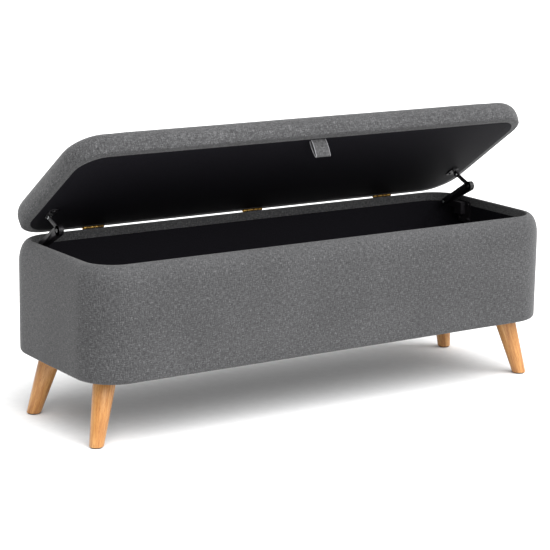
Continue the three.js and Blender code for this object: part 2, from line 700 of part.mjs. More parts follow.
// The origin stands under the middle of the bench's bounding box, on the floor.
bench.updateMatrixWorld(true);
const bounds = new THREE.Box3().setFromObject(bench, true);
bench.position.y = -(bounds.min.y + bounds.max.y) / 2;

export default bench;
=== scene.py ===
# %% [markdown]
# # An upholstered storage bench
# A padded lid on three butt hinges and two folding lid stays, a padded box with round
# upright corners, and four splayed turned legs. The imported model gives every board, arm
# and axis its place. Here the soft parts, the turned legs and the small metal parts get
# their real surfaces, and everything gets its finish.

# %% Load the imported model
import json
import math

import bmesh
import bpy
from mathutils import Matrix, Vector, noise


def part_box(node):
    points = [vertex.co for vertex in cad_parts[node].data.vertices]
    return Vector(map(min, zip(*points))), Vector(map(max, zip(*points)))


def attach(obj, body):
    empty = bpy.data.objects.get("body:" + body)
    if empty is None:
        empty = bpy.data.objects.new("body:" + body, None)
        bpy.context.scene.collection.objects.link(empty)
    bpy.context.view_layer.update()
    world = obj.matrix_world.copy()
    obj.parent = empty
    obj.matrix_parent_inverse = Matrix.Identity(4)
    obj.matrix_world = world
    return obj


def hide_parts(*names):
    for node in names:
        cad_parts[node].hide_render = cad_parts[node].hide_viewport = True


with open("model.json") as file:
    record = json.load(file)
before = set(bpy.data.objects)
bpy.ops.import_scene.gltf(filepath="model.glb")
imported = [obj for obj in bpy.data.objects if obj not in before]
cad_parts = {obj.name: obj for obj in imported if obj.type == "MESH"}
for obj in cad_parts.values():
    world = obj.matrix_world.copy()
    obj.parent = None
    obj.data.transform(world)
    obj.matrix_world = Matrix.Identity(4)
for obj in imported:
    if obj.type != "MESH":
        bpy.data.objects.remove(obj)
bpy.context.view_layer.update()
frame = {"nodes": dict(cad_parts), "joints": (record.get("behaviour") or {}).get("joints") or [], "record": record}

nodes = frame["nodes"]

# %% [markdown]
# The camera comes first, so that every later step can be judged through it. It stands low
# in front of the bench's left end and looks down a little, with a long lens, which keeps
# the box's edges nearly parallel. Its place and angles are set directly, because a bench
# that is 1.2 m long shows even half a degree of error at its far end.

# %% Camera
CAMERA_PLACE = (-2.4054, -3.5702, 1.2309)
CAMERA_TURN = -33.61        # degrees round the vertical
CAMERA_DIP = 12.57          # degrees below the horizon
CAMERA_ROLL = 0.77
LENS_MM = 128.6


def add_camera():
    camera = bpy.data.objects.new("camera", bpy.data.cameras.new("camera"))
    bpy.context.scene.collection.objects.link(camera)
    turn = Matrix.Rotation(math.radians(CAMERA_TURN), 4, "Z")
    tilt = Matrix.Rotation(math.radians(90 - CAMERA_DIP), 4, "X")
    roll = Matrix.Rotation(math.radians(CAMERA_ROLL), 4, "Z")
    camera.matrix_world = Matrix.Translation(CAMERA_PLACE) @ turn @ tilt @ roll
    camera.data.lens = LENS_MM
    camera.data.sensor_width = 36
    camera.data.clip_end = 200
    bpy.context.scene.camera = camera
    return camera


print("camera stands", round(add_camera().location.length, 2), "m from the bench's middle")

# %% [markdown]
# A pale floor under a dim even sky is the plainest studio. Most of the light comes from
# above and in front, from a source so wide that shadows have no edge:
# it makes the lid's tilted front edge the brightest fabric, while the upright walls are lit
# by the sky and the floor. A sun lamp does this evenly up to the horizon, which a softbox
# of a real size would not. A weak lamp from the right keeps the right-hand legs warm.

# %% Floor, sky and lamps
FLOOR_HALF = 40
SKY_STRENGTH = 0.6
TOP_LIGHT = 6.5             # watts per square metre
TOP_LIGHT_WIDTH = 75        # degrees across, as seen from the bench
TOP_LIGHT_FROM = (0.05, -0.8, 1.15)


def add_floor():
    bpy.ops.object.select_all(action="DESELECT")
    bpy.ops.mesh.primitive_plane_add(size=2 * FLOOR_HALF, location=(0, 0, 0))
    floor = bpy.context.object
    floor.name = floor.data.name = "studio_floor"
    return floor


def add_lamp(name, place, aim, size, watts):
    lamp = bpy.data.objects.new(name, bpy.data.lights.new(name, "AREA"))
    bpy.context.scene.collection.objects.link(lamp)
    lamp.data.shape = "DISK"
    lamp.data.size = size
    lamp.data.energy = watts
    lamp.location = place
    lamp.rotation_euler = (Vector(aim) - Vector(place)).to_track_quat("-Z", "Y").to_euler()
    return lamp


def add_top_light():
    sun = bpy.data.objects.new("top_light", bpy.data.lights.new("top_light", "SUN"))
    bpy.context.scene.collection.objects.link(sun)
    sun.data.energy = TOP_LIGHT
    sun.data.angle = math.radians(TOP_LIGHT_WIDTH)
    sun.rotation_euler = Vector(TOP_LIGHT_FROM).to_track_quat("Z", "Y").to_euler()
    return sun


floor = add_floor()
add_top_light()
add_lamp("fill_lamp", (3.4, -2.4, 1.6), (0.2, 0, 0.3), 2.2, 20)
world = bpy.data.worlds.new("studio_sky")
world.use_nodes = True
world.node_tree.nodes["Background"].inputs["Color"].default_value = (1, 1, 1, 1)
world.node_tree.nodes["Background"].inputs["Strength"].default_value = SKY_STRENGTH
bpy.context.scene.world = world
bpy.context.scene.view_settings.view_transform = "Standard"
print("floor", 2 * FLOOR_HALF, "m wide")

# %% [markdown]
# Materials are node trees. Three small tools keep them short: one turns a hex colour from
# the screen's sRGB into the linear values that Blender works in, one starts a material, and
# one adds a node with its settings and links. A number that is the same all over goes
# straight onto the Principled shader.

# %% Tools for materials
def linear(hex_colour):
    channels = [int(hex_colour[i:i + 2], 16) / 255 for i in (1, 3, 5)]
    straight = [c / 12.92 if c <= 0.04045 else ((c + 0.055) / 1.055) ** 2.4 for c in channels]
    return (*straight, 1.0)


def add_node(tree, kind, inputs=None, **settings):
    node = tree.nodes.new(kind)
    for key, value in settings.items():
        setattr(node, key, value)
    for socket, value in (inputs or {}).items():
        if isinstance(value, bpy.types.NodeSocket):
            tree.links.new(value, node.inputs[socket])
        else:
            node.inputs[socket].default_value = value
    return node


def start_material(name, **constants):
    material = bpy.data.materials.new(name)
    material.use_nodes = True
    tree = material.node_tree
    shader = tree.nodes["Principled BSDF"]
    for socket, value in constants.items():
        shader.inputs[socket.replace("_", " ")].default_value = value
    return material, tree, shader


def colour_steps(tree, factor, stops):
    ramp = add_node(tree, "ShaderNodeValToRGB", {"Fac": factor})
    elements = ramp.color_ramp.elements
    while len(elements) < len(stops):
        elements.new(0.5)
    for element, (position, colour) in zip(elements, stops):
        element.position = position
        element.color = linear(colour)
    return ramp.outputs["Color"]


def grain(tree, place, spacing, detail=2.0, roughness=0.55):
    """Noise whose blotches are spacing wide along each axis, in metres."""
    scaled = add_node(tree, "ShaderNodeMapping", {"Vector": place, "Scale": [1 / s for s in spacing]})
    return add_node(tree, "ShaderNodeTexNoise", {
        "Vector": scaled.outputs["Vector"], "Scale": 1.0, "Detail": detail, "Roughness": roughness,
    }).outputs["Fac"]


def blend_of(tree, first, second, share):
    return add_node(tree, "ShaderNodeMix", {"Factor": share, "A": first, "B": second}).outputs["Result"]


def bump(tree, shader, height, strength, depth):
    node = add_node(tree, "ShaderNodeBump", {"Height": height, "Strength": strength, "Distance": depth})
    tree.links.new(node.outputs["Normal"], shader.inputs["Normal"])


def own_attribute(tree, name):
    return add_node(tree, "ShaderNodeAttribute", attribute_name=name).outputs["Vector"]


def object_place(tree):
    return add_node(tree, "ShaderNodeTexCoord").outputs["Object"]


# %% [markdown]
# The cover is a plain-woven polyester with a heathered yarn: light and dark fibres are spun
# together, so each thread changes shade every few millimetres. The real threads are about
# 0.8 mm apart, too fine to show, so they are drawn 1.7 mm wide with flecks 7 mm long, once
# along each direction of the cloth. The pattern follows an attribute called cloth, which
# holds the distances along the cloth, so it goes round corners and turns with the lid. A
# matt surface with a little sheen gives the pale bloom that short fibres have at grazing
# angles.

# %% Heathered plain-weave upholstery
THREAD = 0.0021
FLECK = 0.0095
BLOTCH = 0.16


def heathered_weave(name="heathered_polyester_weave", painted_fold_highlight=False):
    material, tree, shader = start_material(
        name, Roughness=0.92, IOR=1.46, Sheen_Weight=0.16, Sheen_Roughness=0.45,
        Specular_IOR_Level=0.18)
    cloth = own_attribute(tree, "cloth")
    along = grain(tree, cloth, (FLECK, THREAD, THREAD))
    across = grain(tree, cloth, (THREAD, THREAD, FLECK))
    through = grain(tree, cloth, (THREAD, FLECK, THREAD))
    crossing = blend_of(tree, along, across, 0.5)
    threads = blend_of(tree, crossing, through, 0.33)
    colour = colour_steps(tree, threads, [
        (0.32, "#1e1e1f"), (0.45, "#383839"), (0.55, "#4a4a4b"), (0.68, "#6e6e6f")])
    shade = colour_steps(tree, grain(tree, cloth, (BLOTCH,) * 3, 1.0), [
        (0.35, "#f1f1f1"), (0.65, "#ffffff")])
    tinted = add_node(tree, "ShaderNodeMix", {"Factor": 1.0, "A": colour, "B": shade},
                      data_type="RGBA", blend_type="MULTIPLY").outputs["Result"]
    if painted_fold_highlight:
        # the strap's folded edges get a painted highlight
        tinted = paint_fold_highlight(tree, cloth, tinted)
    tree.links.new(tinted, shader.inputs["Base Color"])
    bump(tree, shader, threads, 0.35, 0.0006)
    return material


# %% [markdown]
# The pull tab is a strap of the same cloth with folded edges. Its colour is lightened over the last 1.6 mm on both
# sides: a painted highlight for the light that the folds would catch.

# %% Painted highlight on the pull tab's folded edges
TAB_HALF = 0.019
FOLD = 0.0016


def paint_fold_highlight(tree, cloth, colour):
    across = add_node(tree, "ShaderNodeSeparateXYZ", {"Vector": cloth}).outputs["X"]
    distance = add_node(tree, "ShaderNodeMath", {0: across}, operation="ABSOLUTE").outputs[0]
    edge = add_node(tree, "ShaderNodeMapRange", {
        "Value": distance, "From Min": TAB_HALF - FOLD, "From Max": TAB_HALF - 0.4 * FOLD,
        "To Min": 0.0, "To Max": 0.5}).outputs["Result"]
    # painted highlight: near both edges the colour is mixed up to halfway towards a pale grey
    return add_node(tree, "ShaderNodeMix", {"Factor": edge, "A": colour, "B": linear("#a4a4a8")},
                    data_type="RGBA").outputs["Result"]


# %% [markdown]
# The lining is black non-woven polypropylene, the cheap felt-like cloth that hides the
# inside of such a box. It is nearly black, with a faint fibrous mottle about 2.5 mm across,
# and a dull shine that lifts it a little where it is seen at a flat angle.

# %% Black non-woven lining
def nonwoven_lining():
    material, tree, shader = start_material(
        "black_nonwoven_lining", Roughness=0.75, IOR=1.48, Specular_IOR_Level=0.09)
    fibres = grain(tree, object_place(tree), (0.0025,) * 3, 3.0)
    colour = colour_steps(tree, fibres, [(0.35, "#0a090d"), (0.65, "#141318")])
    tree.links.new(colour, shader.inputs["Base Color"])
    bump(tree, shader, fibres, 0.2, 0.0005)
    return material


# %% [markdown]
# The legs are rubberwood, turned and sealed with a clear satin lacquer. The grain runs
# along the leg: fine pores about 0.7 mm wide and 25 mm long, over broad bands of warmer and
# paler wood about 9 mm apart. The pattern follows an attribute called grain_line, which
# holds each point's place along its own leg's axis, so it leans with the leg.

# %% Lacquered rubberwood
PORE_WIDTH = 0.0007
PORE_LENGTH = 0.025
BAND_WIDTH = 0.009


def lacquered_rubberwood():
    material, tree, shader = start_material(
        "lacquered_rubberwood", Roughness=0.42, IOR=1.5, Coat_Weight=0.25, Coat_Roughness=0.25)
    line = own_attribute(tree, "grain_line")
    bands = grain(tree, line, (BAND_WIDTH, BAND_WIDTH, 0.35), 2.0)
    streaks = grain(tree, line, (0.0028, 0.0028, 0.14), 3.0)
    pores = grain(tree, line, (PORE_WIDTH, PORE_WIDTH, PORE_LENGTH), 1.0)
    figure = blend_of(tree, bands, streaks, 0.45)
    colour = colour_steps(tree, figure, [
        (0.30, "#8a5724"), (0.46, "#a87237"), (0.56, "#b68347"), (0.72, "#c89a61")])
    pore_colour = colour_steps(tree, pores, [(0.30, "#c9a27c"), (0.46, "#ffffff")])
    tinted = add_node(tree, "ShaderNodeMix", {"Factor": 0.75, "A": colour, "B": pore_colour},
                      data_type="RGBA", blend_type="MULTIPLY").outputs["Result"]
    tree.links.new(tinted, shader.inputs["Base Color"])
    bump(tree, shader, pores, 0.12, 0.0002)
    return material


# %% [markdown]
# The hinges are steel with a thin brass plating, dulled by handling: a warm metal with
# darker brown blotches about 6 mm across where the lacquer has gone. The stays are stamped
# steel with a black electro-coat, which is smooth, dark and half matt, with a slight
# orange-peel; their screws are blackened the same way. Pins, bolts and the leg plates'
# screws are zinc plated: a cool pale metal with a fine crystal mottle.

# %% Brass plating, black electro-coat and zinc plating
def brass_plating():
    material, tree, shader = start_material("brass_plated_steel", Metallic=1.0)
    tarnish = grain(tree, object_place(tree), (0.006,) * 3, 3.0)
    colour = colour_steps(tree, tarnish, [(0.36, "#46331d"), (0.52, "#80612f"), (0.68, "#b9954f")])
    rough = add_node(tree, "ShaderNodeMapRange", {
        "Value": tarnish, "From Min": 0.3, "From Max": 0.7, "To Min": 0.5, "To Max": 0.28})
    tree.links.new(colour, shader.inputs["Base Color"])
    tree.links.new(rough.outputs["Result"], shader.inputs["Roughness"])
    return material


def black_electrocoat():
    material, tree, shader = start_material("black_electrocoated_steel", IOR=1.45)
    place = object_place(tree)
    peel = grain(tree, place, (0.0015,) * 3, 1.0)
    rub = grain(tree, place, (0.011,) * 3, 3.0)
    colour = colour_steps(tree, rub, [(0.35, "#0b0a0c"), (0.60, "#131115"), (0.78, "#211e21")])
    rough = add_node(tree, "ShaderNodeMapRange", {
        "Value": rub, "From Min": 0.3, "From Max": 0.7, "To Min": 0.38, "To Max": 0.54})
    tree.links.new(colour, shader.inputs["Base Color"])
    tree.links.new(rough.outputs["Result"], shader.inputs["Roughness"])
    bump(tree, shader, peel, 0.06, 0.0002)
    return material


def zinc_plating():
    material, tree, shader = start_material("zinc_plated_steel", Metallic=1.0)
    crystals = grain(tree, object_place(tree), (0.0012,) * 3, 2.0)
    colour = colour_steps(tree, crystals, [(0.35, "#9a9da0"), (0.65, "#c3c6c8")])
    rough = add_node(tree, "ShaderNodeMapRange", {
        "Value": crystals, "From Min": 0.3, "From Max": 0.7, "To Min": 0.26, "To Max": 0.4})
    tree.links.new(colour, shader.inputs["Base Color"])
    tree.links.new(rough.outputs["Result"], shader.inputs["Roughness"])
    return material


# %% [markdown]
# Inside the padding are the parts nobody sees: poplar plywood boards with a pale streaky
# face, and cream polyurethane foam with pores about 1 mm across. The glides are moulded
# black polypropylene with a fine satin texture. The studio floor is plain matt paint with a
# very faint roller mottle.

# %% Plywood, foam, plastic and floor paint
def poplar_plywood():
    material, tree, shader = start_material("poplar_plywood", Roughness=0.7, IOR=1.5)
    place = object_place(tree)
    streaks = grain(tree, place, (0.12, 0.004, 0.004), 3.0)
    colour = colour_steps(tree, streaks, [(0.32, "#a98a5d"), (0.52, "#c4a678"), (0.70, "#d8bf94")])
    tree.links.new(colour, shader.inputs["Base Color"])
    bump(tree, shader, streaks, 0.1, 0.0003)
    return material


def cream_foam():
    material, tree, shader = start_material("cream_polyurethane_foam", Roughness=0.95, IOR=1.4)
    pores = add_node(tree, "ShaderNodeTexVoronoi", {"Vector": object_place(tree), "Scale": 1 / 0.001})
    colour = colour_steps(tree, pores.outputs["Distance"], [(0.1, "#cdbf8e"), (0.6, "#eadfb9")])
    tree.links.new(colour, shader.inputs["Base Color"])
    bump(tree, shader, pores.outputs["Distance"], 0.4, 0.0004)
    return material


def moulded_polypropylene():
    material, tree, shader = start_material("moulded_black_polypropylene", Roughness=0.5, IOR=1.49)
    spark = grain(tree, object_place(tree), (0.0006,) * 3, 1.0)
    colour = colour_steps(tree, spark, [(0.35, "#141414"), (0.65, "#1f1f20")])
    tree.links.new(colour, shader.inputs["Base Color"])
    bump(tree, shader, spark, 0.15, 0.0001)
    return material


def floor_paint():
    material, tree, shader = start_material("white_floor_paint", Roughness=0.85, IOR=1.45)
    mottle = grain(tree, object_place(tree), (0.02,) * 3, 2.0)
    colour = colour_steps(tree, mottle, [(0.3, "#e4e4e4"), (0.7, "#e8e8e8")])
    tree.links.new(colour, shader.inputs["Base Color"])
    return material


weave = heathered_weave()
# the strap's material carries a painted highlight along its folded edges
tab_weave = heathered_weave("heathered_weave_strap_painted_highlight", painted_fold_highlight=True)
lining = nonwoven_lining()
rubberwood = lacquered_rubberwood()
brass = brass_plating()
electrocoat = black_electrocoat()
zinc = zinc_plating()
plywood = poplar_plywood()
foam = cream_foam()
plastic = moulded_polypropylene()
floor.data.materials.append(floor_paint())
print(len(bpy.data.materials), "materials")

# %% [markdown]
# Every packed board, plate and arm keeps its mesh and gets the finish of its material slot.

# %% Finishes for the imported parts
SLOT_FINISH = {
    "grey_upholstery": weave, "black_lining": lining, "polyurethane_foam": foam,
    "plywood": plywood, "lacquered_hardwood": rubberwood, "brassed_steel": brass,
    "black_steel": electrocoat, "zinc_steel": zinc, "black_plastic": plastic,
}

for row in frame["record"]["subparts"]:
    mesh = nodes[row["node"]].data
    mesh.materials.clear()
    mesh.materials.append(SLOT_FINISH[row["material_slot"]])
print("finished", len(nodes), "packed parts")

# %% [markdown]
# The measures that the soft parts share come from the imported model: the box cover's corners
# give the length, depth and heights, and the lid hinge's axis and lower limit say how far
# the lid has turned from closed. Soft parts of the lid are modelled closed, where they are
# level and easy to shape, and are turned open at the end.

# %% Shared measures
low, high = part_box("box_cover")
LENGTH = high.x - low.x
DEPTH = high.y - low.y
MIDDLE_Y = (high.y + low.y) / 2
BOX_BOTTOM = low.z
BOX_TOP = high.z
CORNER = 0.088
FABRIC = 0.0015
GAP = 0.0003
WADDING = 0.0077
RIM_CREST = 0.0236          # the padded rim is highest this far in from the face
RIM_DROP = 0.048            # and rounds off over this height
RIM_FILLET = 0.003
RIM_RETURN = 0.020          # cloth turned down inside the rim
UNDER_ROUND = 0.0096
UNDER_TURN = 0.035          # cloth turned in under the base

lid_joint = next(joint for joint in frame["joints"] if joint["name"] == "lid_hinge")
HINGE = Vector(lid_joint["pos_m"])
LID_OPENED = math.radians(-lid_joint["range_deg"][0])
LID_INSET = 0.0075
LID_BOTTOM = BOX_TOP + 0.003
LID_THICK = 0.056
LID_TOP = LID_BOTTOM + LID_THICK
LOWER_ROUND = 0.010
UPPER_ROUND = 0.031
LID_TURN = 0.022            # cloth turned in under the lid
OPEN_LID = (Matrix.Translation(HINGE) @ Matrix.Rotation(-LID_OPENED, 4, "X")
            @ Matrix.Translation(-HINGE))
print("box", round(LENGTH, 4), round(DEPTH, 4), "lid opened", round(math.degrees(LID_OPENED), 1))

# %% [markdown]
# Modelling by operators needs a few habits: deselect everything before a primitive is
# added, apply its size and place at once, and pick faces or edges by where they are. These
# small tools hold those habits.

# %% Tools for modelling
def new_piece(name):
    piece = bpy.context.object
    piece.name = piece.data.name = name
    bpy.ops.object.transform_apply(location=True, rotation=True, scale=True)
    return piece


def add_block(name, low_corner, high_corner):
    bpy.ops.object.select_all(action="DESELECT")
    low_corner, high_corner = Vector(low_corner), Vector(high_corner)
    bpy.ops.mesh.primitive_cube_add(size=1, location=(low_corner + high_corner) / 2)
    bpy.context.object.scale = high_corner - low_corner
    return new_piece(name)


def add_rod(name, start, end, radius, sides=32):
    """A straight rod between two points."""
    start, end = Vector(start), Vector(end)
    bpy.ops.object.select_all(action="DESELECT")
    bpy.ops.mesh.primitive_cylinder_add(
        vertices=sides, radius=radius, depth=(end - start).length, location=(start + end) / 2)
    bpy.context.object.rotation_euler = (end - start).to_track_quat("Z", "X").to_euler()
    return new_piece(name)


def choose(piece):
    bpy.ops.object.select_all(action="DESELECT")
    piece.select_set(True)
    bpy.context.view_layer.objects.active = piece


def pick(piece, kind, test):
    """Goes into edit mode and selects only the faces, edges or vertices that pass the test."""
    choose(piece)
    bpy.ops.object.mode_set(mode="EDIT")
    bpy.ops.mesh.select_mode(type=kind)
    bpy.ops.mesh.select_all(action="DESELECT")
    work = bmesh.from_edit_mesh(piece.data)
    found = [element for element in
             {"FACE": work.faces, "EDGE": work.edges, "VERT": work.verts}[kind] if test(element)]
    for element in found:
        element.select_set(True)
    bmesh.update_edit_mesh(piece.data)
    return len(found)


def leave_edit():
    bpy.ops.object.mode_set(mode="OBJECT")


def upright(edge):
    a, b = (vertex.co for vertex in edge.verts)
    return (a - b).xy.length < 1e-6


def flat_face(height):
    return lambda face: abs(face.calc_center_median().z - height) < 1e-5 and abs(face.normal.z) > 0.99


def apply_modifier(piece, kind, **settings):
    choose(piece)
    modifier = piece.modifiers.new(kind.lower(), kind)
    for key, value in settings.items():
        setattr(modifier, key, value)
    bpy.ops.object.modifier_apply(modifier=modifier.name)


def smooth(piece, degrees=35):
    choose(piece)
    bpy.ops.object.shade_smooth_by_angle(angle=math.radians(degrees))


def finish_piece(piece, body, slot, material, *replaced):
    piece.data.materials.clear()
    piece.data.materials.append(material)
    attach(piece, body)
    if replaced:
        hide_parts(*replaced)
    return piece


# %% [markdown]
# Both upholstered bodies are round-cornered blocks whose edges roll over. By hand you would
# add a cube, bevel its four upright edges, and then inset the end face again and again,
# moving it a little each time, so that the rings follow a quarter circle. Inset keeps its
# distance from the edge at every point, which is what cloth pulled over foam does.

# %% Tools for rolled edges
CORNER_STEPS = 14


def add_round_block(name, half_length, half_depth, radius, bottom, top):
    piece = add_block(name, (-half_length, MIDDLE_Y - half_depth, bottom),
                      (half_length, MIDDLE_Y + half_depth, top))
    pick(piece, "EDGE", upright)
    bpy.ops.mesh.bevel(offset=radius, segments=CORNER_STEPS, affect="EDGES")
    leave_edit()
    return piece


def roll_in(reach, height, steps, start=0.0, end=90.0):
    """Insets the picked face along an elliptical arc: out over the edge, then level."""
    def at(step):
        angle = math.radians(start + (end - start) * step / steps)
        return reach * (1 - math.cos(angle)), height * math.sin(angle)
    for step in range(steps):
        (d0, h0), (d1, h1) = at(step), at(step + 1)
        bpy.ops.mesh.inset(thickness=d1 - d0, depth=h1 - h0)


def rule_lines(piece, axis, positions):
    """Cuts edges across the piece at each position along an axis, so that it can flex there."""
    normal = [0, 0, 0]
    normal[axis] = 1
    for position in positions:
        pick(piece, "FACE", lambda face: True)
        place = [0, 0, 0]
        place[axis] = position
        bpy.ops.mesh.bisect(plane_co=place, plane_no=normal)
        leave_edit()


def spread(start, end, spacing):
    count = max(1, round((end - start) / spacing))
    return [start + (end - start) * i / count for i in range(1, count)]


# %% [markdown]
# The box's cover is one band of cloth pulled over a thin foam sheet. Its rim is softly
# padded: it rolls over an ellipse twice as high as it is deep, then turns down inside, where
# the lining starts. Underneath it is turned in and stapled. It is modelled as its outer
# surface only, opened at the top and the bottom, and gets its thickness from Solidify.
# Hand-pulled cloth is never dead flat, so the walls also wave by a third of a millimetre.

# %% Box cover and wadding
WALL_RULE = 0.028
SEAM_HALF = 0.0018
SEAM_DEPTH = 0.0016
WAVE = 0.0004
WAVE_LENGTH = 0.12


def wall_shell(name, skin, turned_in):
    """The band round the box, skin inside its outer face."""
    piece = add_round_block(
        name, LENGTH / 2 - skin, DEPTH / 2 - skin, CORNER - skin,
        BOX_BOTTOM + UNDER_ROUND, BOX_TOP - RIM_DROP)
    pick(piece, "FACE", flat_face(BOX_TOP - RIM_DROP))
    roll_in(RIM_CREST - skin, RIM_DROP - skin, 9)
    if turned_in:
        for step in range(4):
            a, b = (math.radians(90 * (step + i) / 4) for i in (0, 1))
            bpy.ops.mesh.inset(thickness=RIM_FILLET * (math.sin(b) - math.sin(a)),
                               depth=RIM_FILLET * (math.cos(b) - math.cos(a)))
        for depth in (0.009, RIM_RETURN - RIM_FILLET - 0.009):
            bpy.ops.mesh.extrude_region_move(TRANSFORM_OT_translate={"value": (0, 0, -depth)})
    bpy.ops.mesh.delete(type="FACE")
    leave_edit()
    pick(piece, "FACE", flat_face(BOX_BOTTOM + UNDER_ROUND))
    if turned_in:
        roll_in(UNDER_ROUND, UNDER_ROUND, 5)
        bpy.ops.mesh.inset(thickness=UNDER_TURN - UNDER_ROUND, depth=0)
    bpy.ops.mesh.delete(type="FACE")
    leave_edit()
    straight_x = LENGTH / 2 - CORNER
    straight_y = DEPTH / 2 - CORNER
    rule_lines(piece, 0, spread(-straight_x, straight_x, WALL_RULE))
    rule_lines(piece, 1, [MIDDLE_Y + y for y in spread(-straight_y, straight_y, WALL_RULE)])
    rule_lines(piece, 2, spread(BOX_BOTTOM + UNDER_ROUND, BOX_TOP - RIM_DROP, WALL_RULE))
    if turned_in:
        rule_lines(piece, 0, (-SEAM_HALF, 0, SEAM_HALF))
        for vertex in piece.data.vertices:
            if abs(vertex.co.x) < 1e-6 and vertex.co.y > MIDDLE_Y:
                vertex.co -= vertex.normal * SEAM_DEPTH
    return piece


def wave_walls(piece):
    for vertex in piece.data.vertices:
        side = 1 - abs(vertex.normal.z)
        vertex.co += vertex.normal * side * WAVE * noise.noise(vertex.co / WAVE_LENGTH)


box_upholstery = wall_shell("box_upholstery", 0, turned_in=True)
apply_modifier(box_upholstery, "SUBSURF", levels=1, render_levels=1)
wave_walls(box_upholstery)
apply_modifier(box_upholstery, "SOLIDIFY", thickness=FABRIC, offset=-1)
smooth(box_upholstery, 60)
wadding = wall_shell("wadding_sheet", FABRIC + GAP, turned_in=False)
apply_modifier(wadding, "SOLIDIFY", thickness=WADDING, offset=-1)
smooth(wadding, 60)
print("box cover", len(box_upholstery.data.polygons), "faces")

# %% [markdown]
# The weave's attribute for the box holds how far round the walls a point is and how far up
# the cloth, so the pattern wraps the round corners and rolls over the rim like the real
# cloth. The two ends of the band meet in a seam at the middle of the back.

# %% Distances along the cloth of the box
def round_the_walls(x, y):
    """Length along the plan's outline from the middle of the front, always positive."""
    straight_x, straight_y = LENGTH / 2 - CORNER, DEPTH / 2 - CORNER
    x, y = abs(x), y - MIDDLE_Y
    quarter = CORNER * math.pi / 2
    if y <= -straight_y:
        return min(x, straight_x) + CORNER * math.atan2(max(x - straight_x, 0), -(y + straight_y) + 1e-9)
    if y < straight_y and x > straight_x:
        return straight_x + quarter + y + straight_y
    turned = math.atan2(y - straight_y, max(x - straight_x, 0) + 1e-9)
    return straight_x + quarter + 2 * straight_y + CORNER * turned + max(straight_x - x, 0)


def depth_in(x, y):
    """How far in from the outer face a point lies, seen from above."""
    across = Vector((abs(x) - (LENGTH / 2 - CORNER), abs(y - MIDDLE_Y) - (DEPTH / 2 - CORNER)))
    outside = Vector((max(across.x, 0), max(across.y, 0))).length
    return CORNER - outside - min(max(across.x, across.y), 0)


def up_the_cloth(point):
    depth = depth_in(point.x, point.y)
    if point.z > BOX_TOP - RIM_DROP:
        over = depth > RIM_CREST
        return BOX_TOP + depth + (BOX_TOP - point.z if over else point.z - BOX_TOP)
    return point.z - (depth if point.z < BOX_BOTTOM + UNDER_ROUND else 0)


def lay_cloth(piece, place_on_cloth):
    """Stores each corner's place on the flat cloth; side tells which half the face is on."""
    layer = piece.data.attributes.new("cloth", "FLOAT_VECTOR", "CORNER")
    for face in piece.data.polygons:
        side = 1 if face.center.x > 0 else -1
        for loop in face.loop_indices:
            point = piece.data.vertices[piece.data.loops[loop].vertex_index].co
            layer.data[loop].vector = place_on_cloth(point, side)


# %% [markdown]
# The lid is a foam slab on a board with the same cloth pulled over it, rolled tightly over
# a small radius below and generously above, with a slight crown. It is modelled as a closed
# form, remeshed to even squares, and blown up a little as cloth, the way foam pushes the
# cover outwards between its staples. The underside is stapled flat, so it is held still.
# A closed form under pressure pulls its sides in, which foam would stop, so each point keeps
# only its way outwards. The even squares blunt the tight lower round, so that round is
# brought back afterwards; the flat underside stays as the simulation left it.

# %% Lid cover by cloth simulation
VOXEL = 0.0078
SWELL = 0.0045              # furthest that the foam pushes the cover out
SHRINK = 0.0022             # the top starts this much lower, because it swells
PRESSURE = 1.2
CLOTH_FRAMES = 16
STAPLED_BAND = 0.0025       # cloth this close to the underside is held by the staples
SMOOTHING_PASSES = 3
FACING_DOWN = -0.35         # the lower round's faces point down at least this much
STEEPEST_REACH = 0.94       # share of the lower round's radius that is brought back
CROWN_RINGS = ((0.020, 0.0012), (0.026, 0.0011), (0.030, 0.0007))


def lid_form(name, skin, bottom, lower_round):
    """The lid's closed shape, skin inside its sides and SHRINK + skin under its top."""
    inset = LID_INSET + skin
    shoulder = LID_TOP - SHRINK - UPPER_ROUND
    piece = add_round_block(
        name, LENGTH / 2 - inset, DEPTH / 2 - inset, CORNER - inset,
        bottom + lower_round, shoulder)
    pick(piece, "FACE", flat_face(shoulder))
    roll_in(UPPER_ROUND - skin, UPPER_ROUND - skin, 8)
    for width, rise in CROWN_RINGS:
        bpy.ops.mesh.inset(thickness=width, depth=rise)
    leave_edit()
    if lower_round > 0:
        pick(piece, "FACE", flat_face(bottom + lower_round))
        roll_in(lower_round, lower_round, 5)
        leave_edit()
    return piece


def swell_as_cloth(piece, held):
    """Cloth under pressure. Each point keeps its way outwards, eased off at SWELL."""
    start = [(vertex.co.copy(), vertex.normal.copy()) for vertex in piece.data.vertices]
    group = piece.vertex_groups.new(name="stapled")
    group.add([i for i, (point, _) in enumerate(start) if held(point)], 1.0, "REPLACE")
    choose(piece)
    modifier = piece.modifiers.new("cloth", "CLOTH")
    modifier.settings.use_pressure = True
    modifier.settings.uniform_pressure_force = PRESSURE
    modifier.settings.effector_weights.gravity = 0
    modifier.settings.vertex_group_mass = group.name
    modifier.point_cache.frame_end = CLOTH_FRAMES
    for frame_number in range(1, CLOTH_FRAMES + 1):
        bpy.context.scene.frame_set(frame_number)
    bpy.ops.object.modifier_apply(modifier=modifier.name)
    bpy.context.scene.frame_set(1)
    for vertex, (place, outwards) in zip(piece.data.vertices, start):
        way = max((vertex.co - place).dot(outwards), 0)
        vertex.co = place + outwards * SWELL * (1 - math.exp(-way / SWELL))


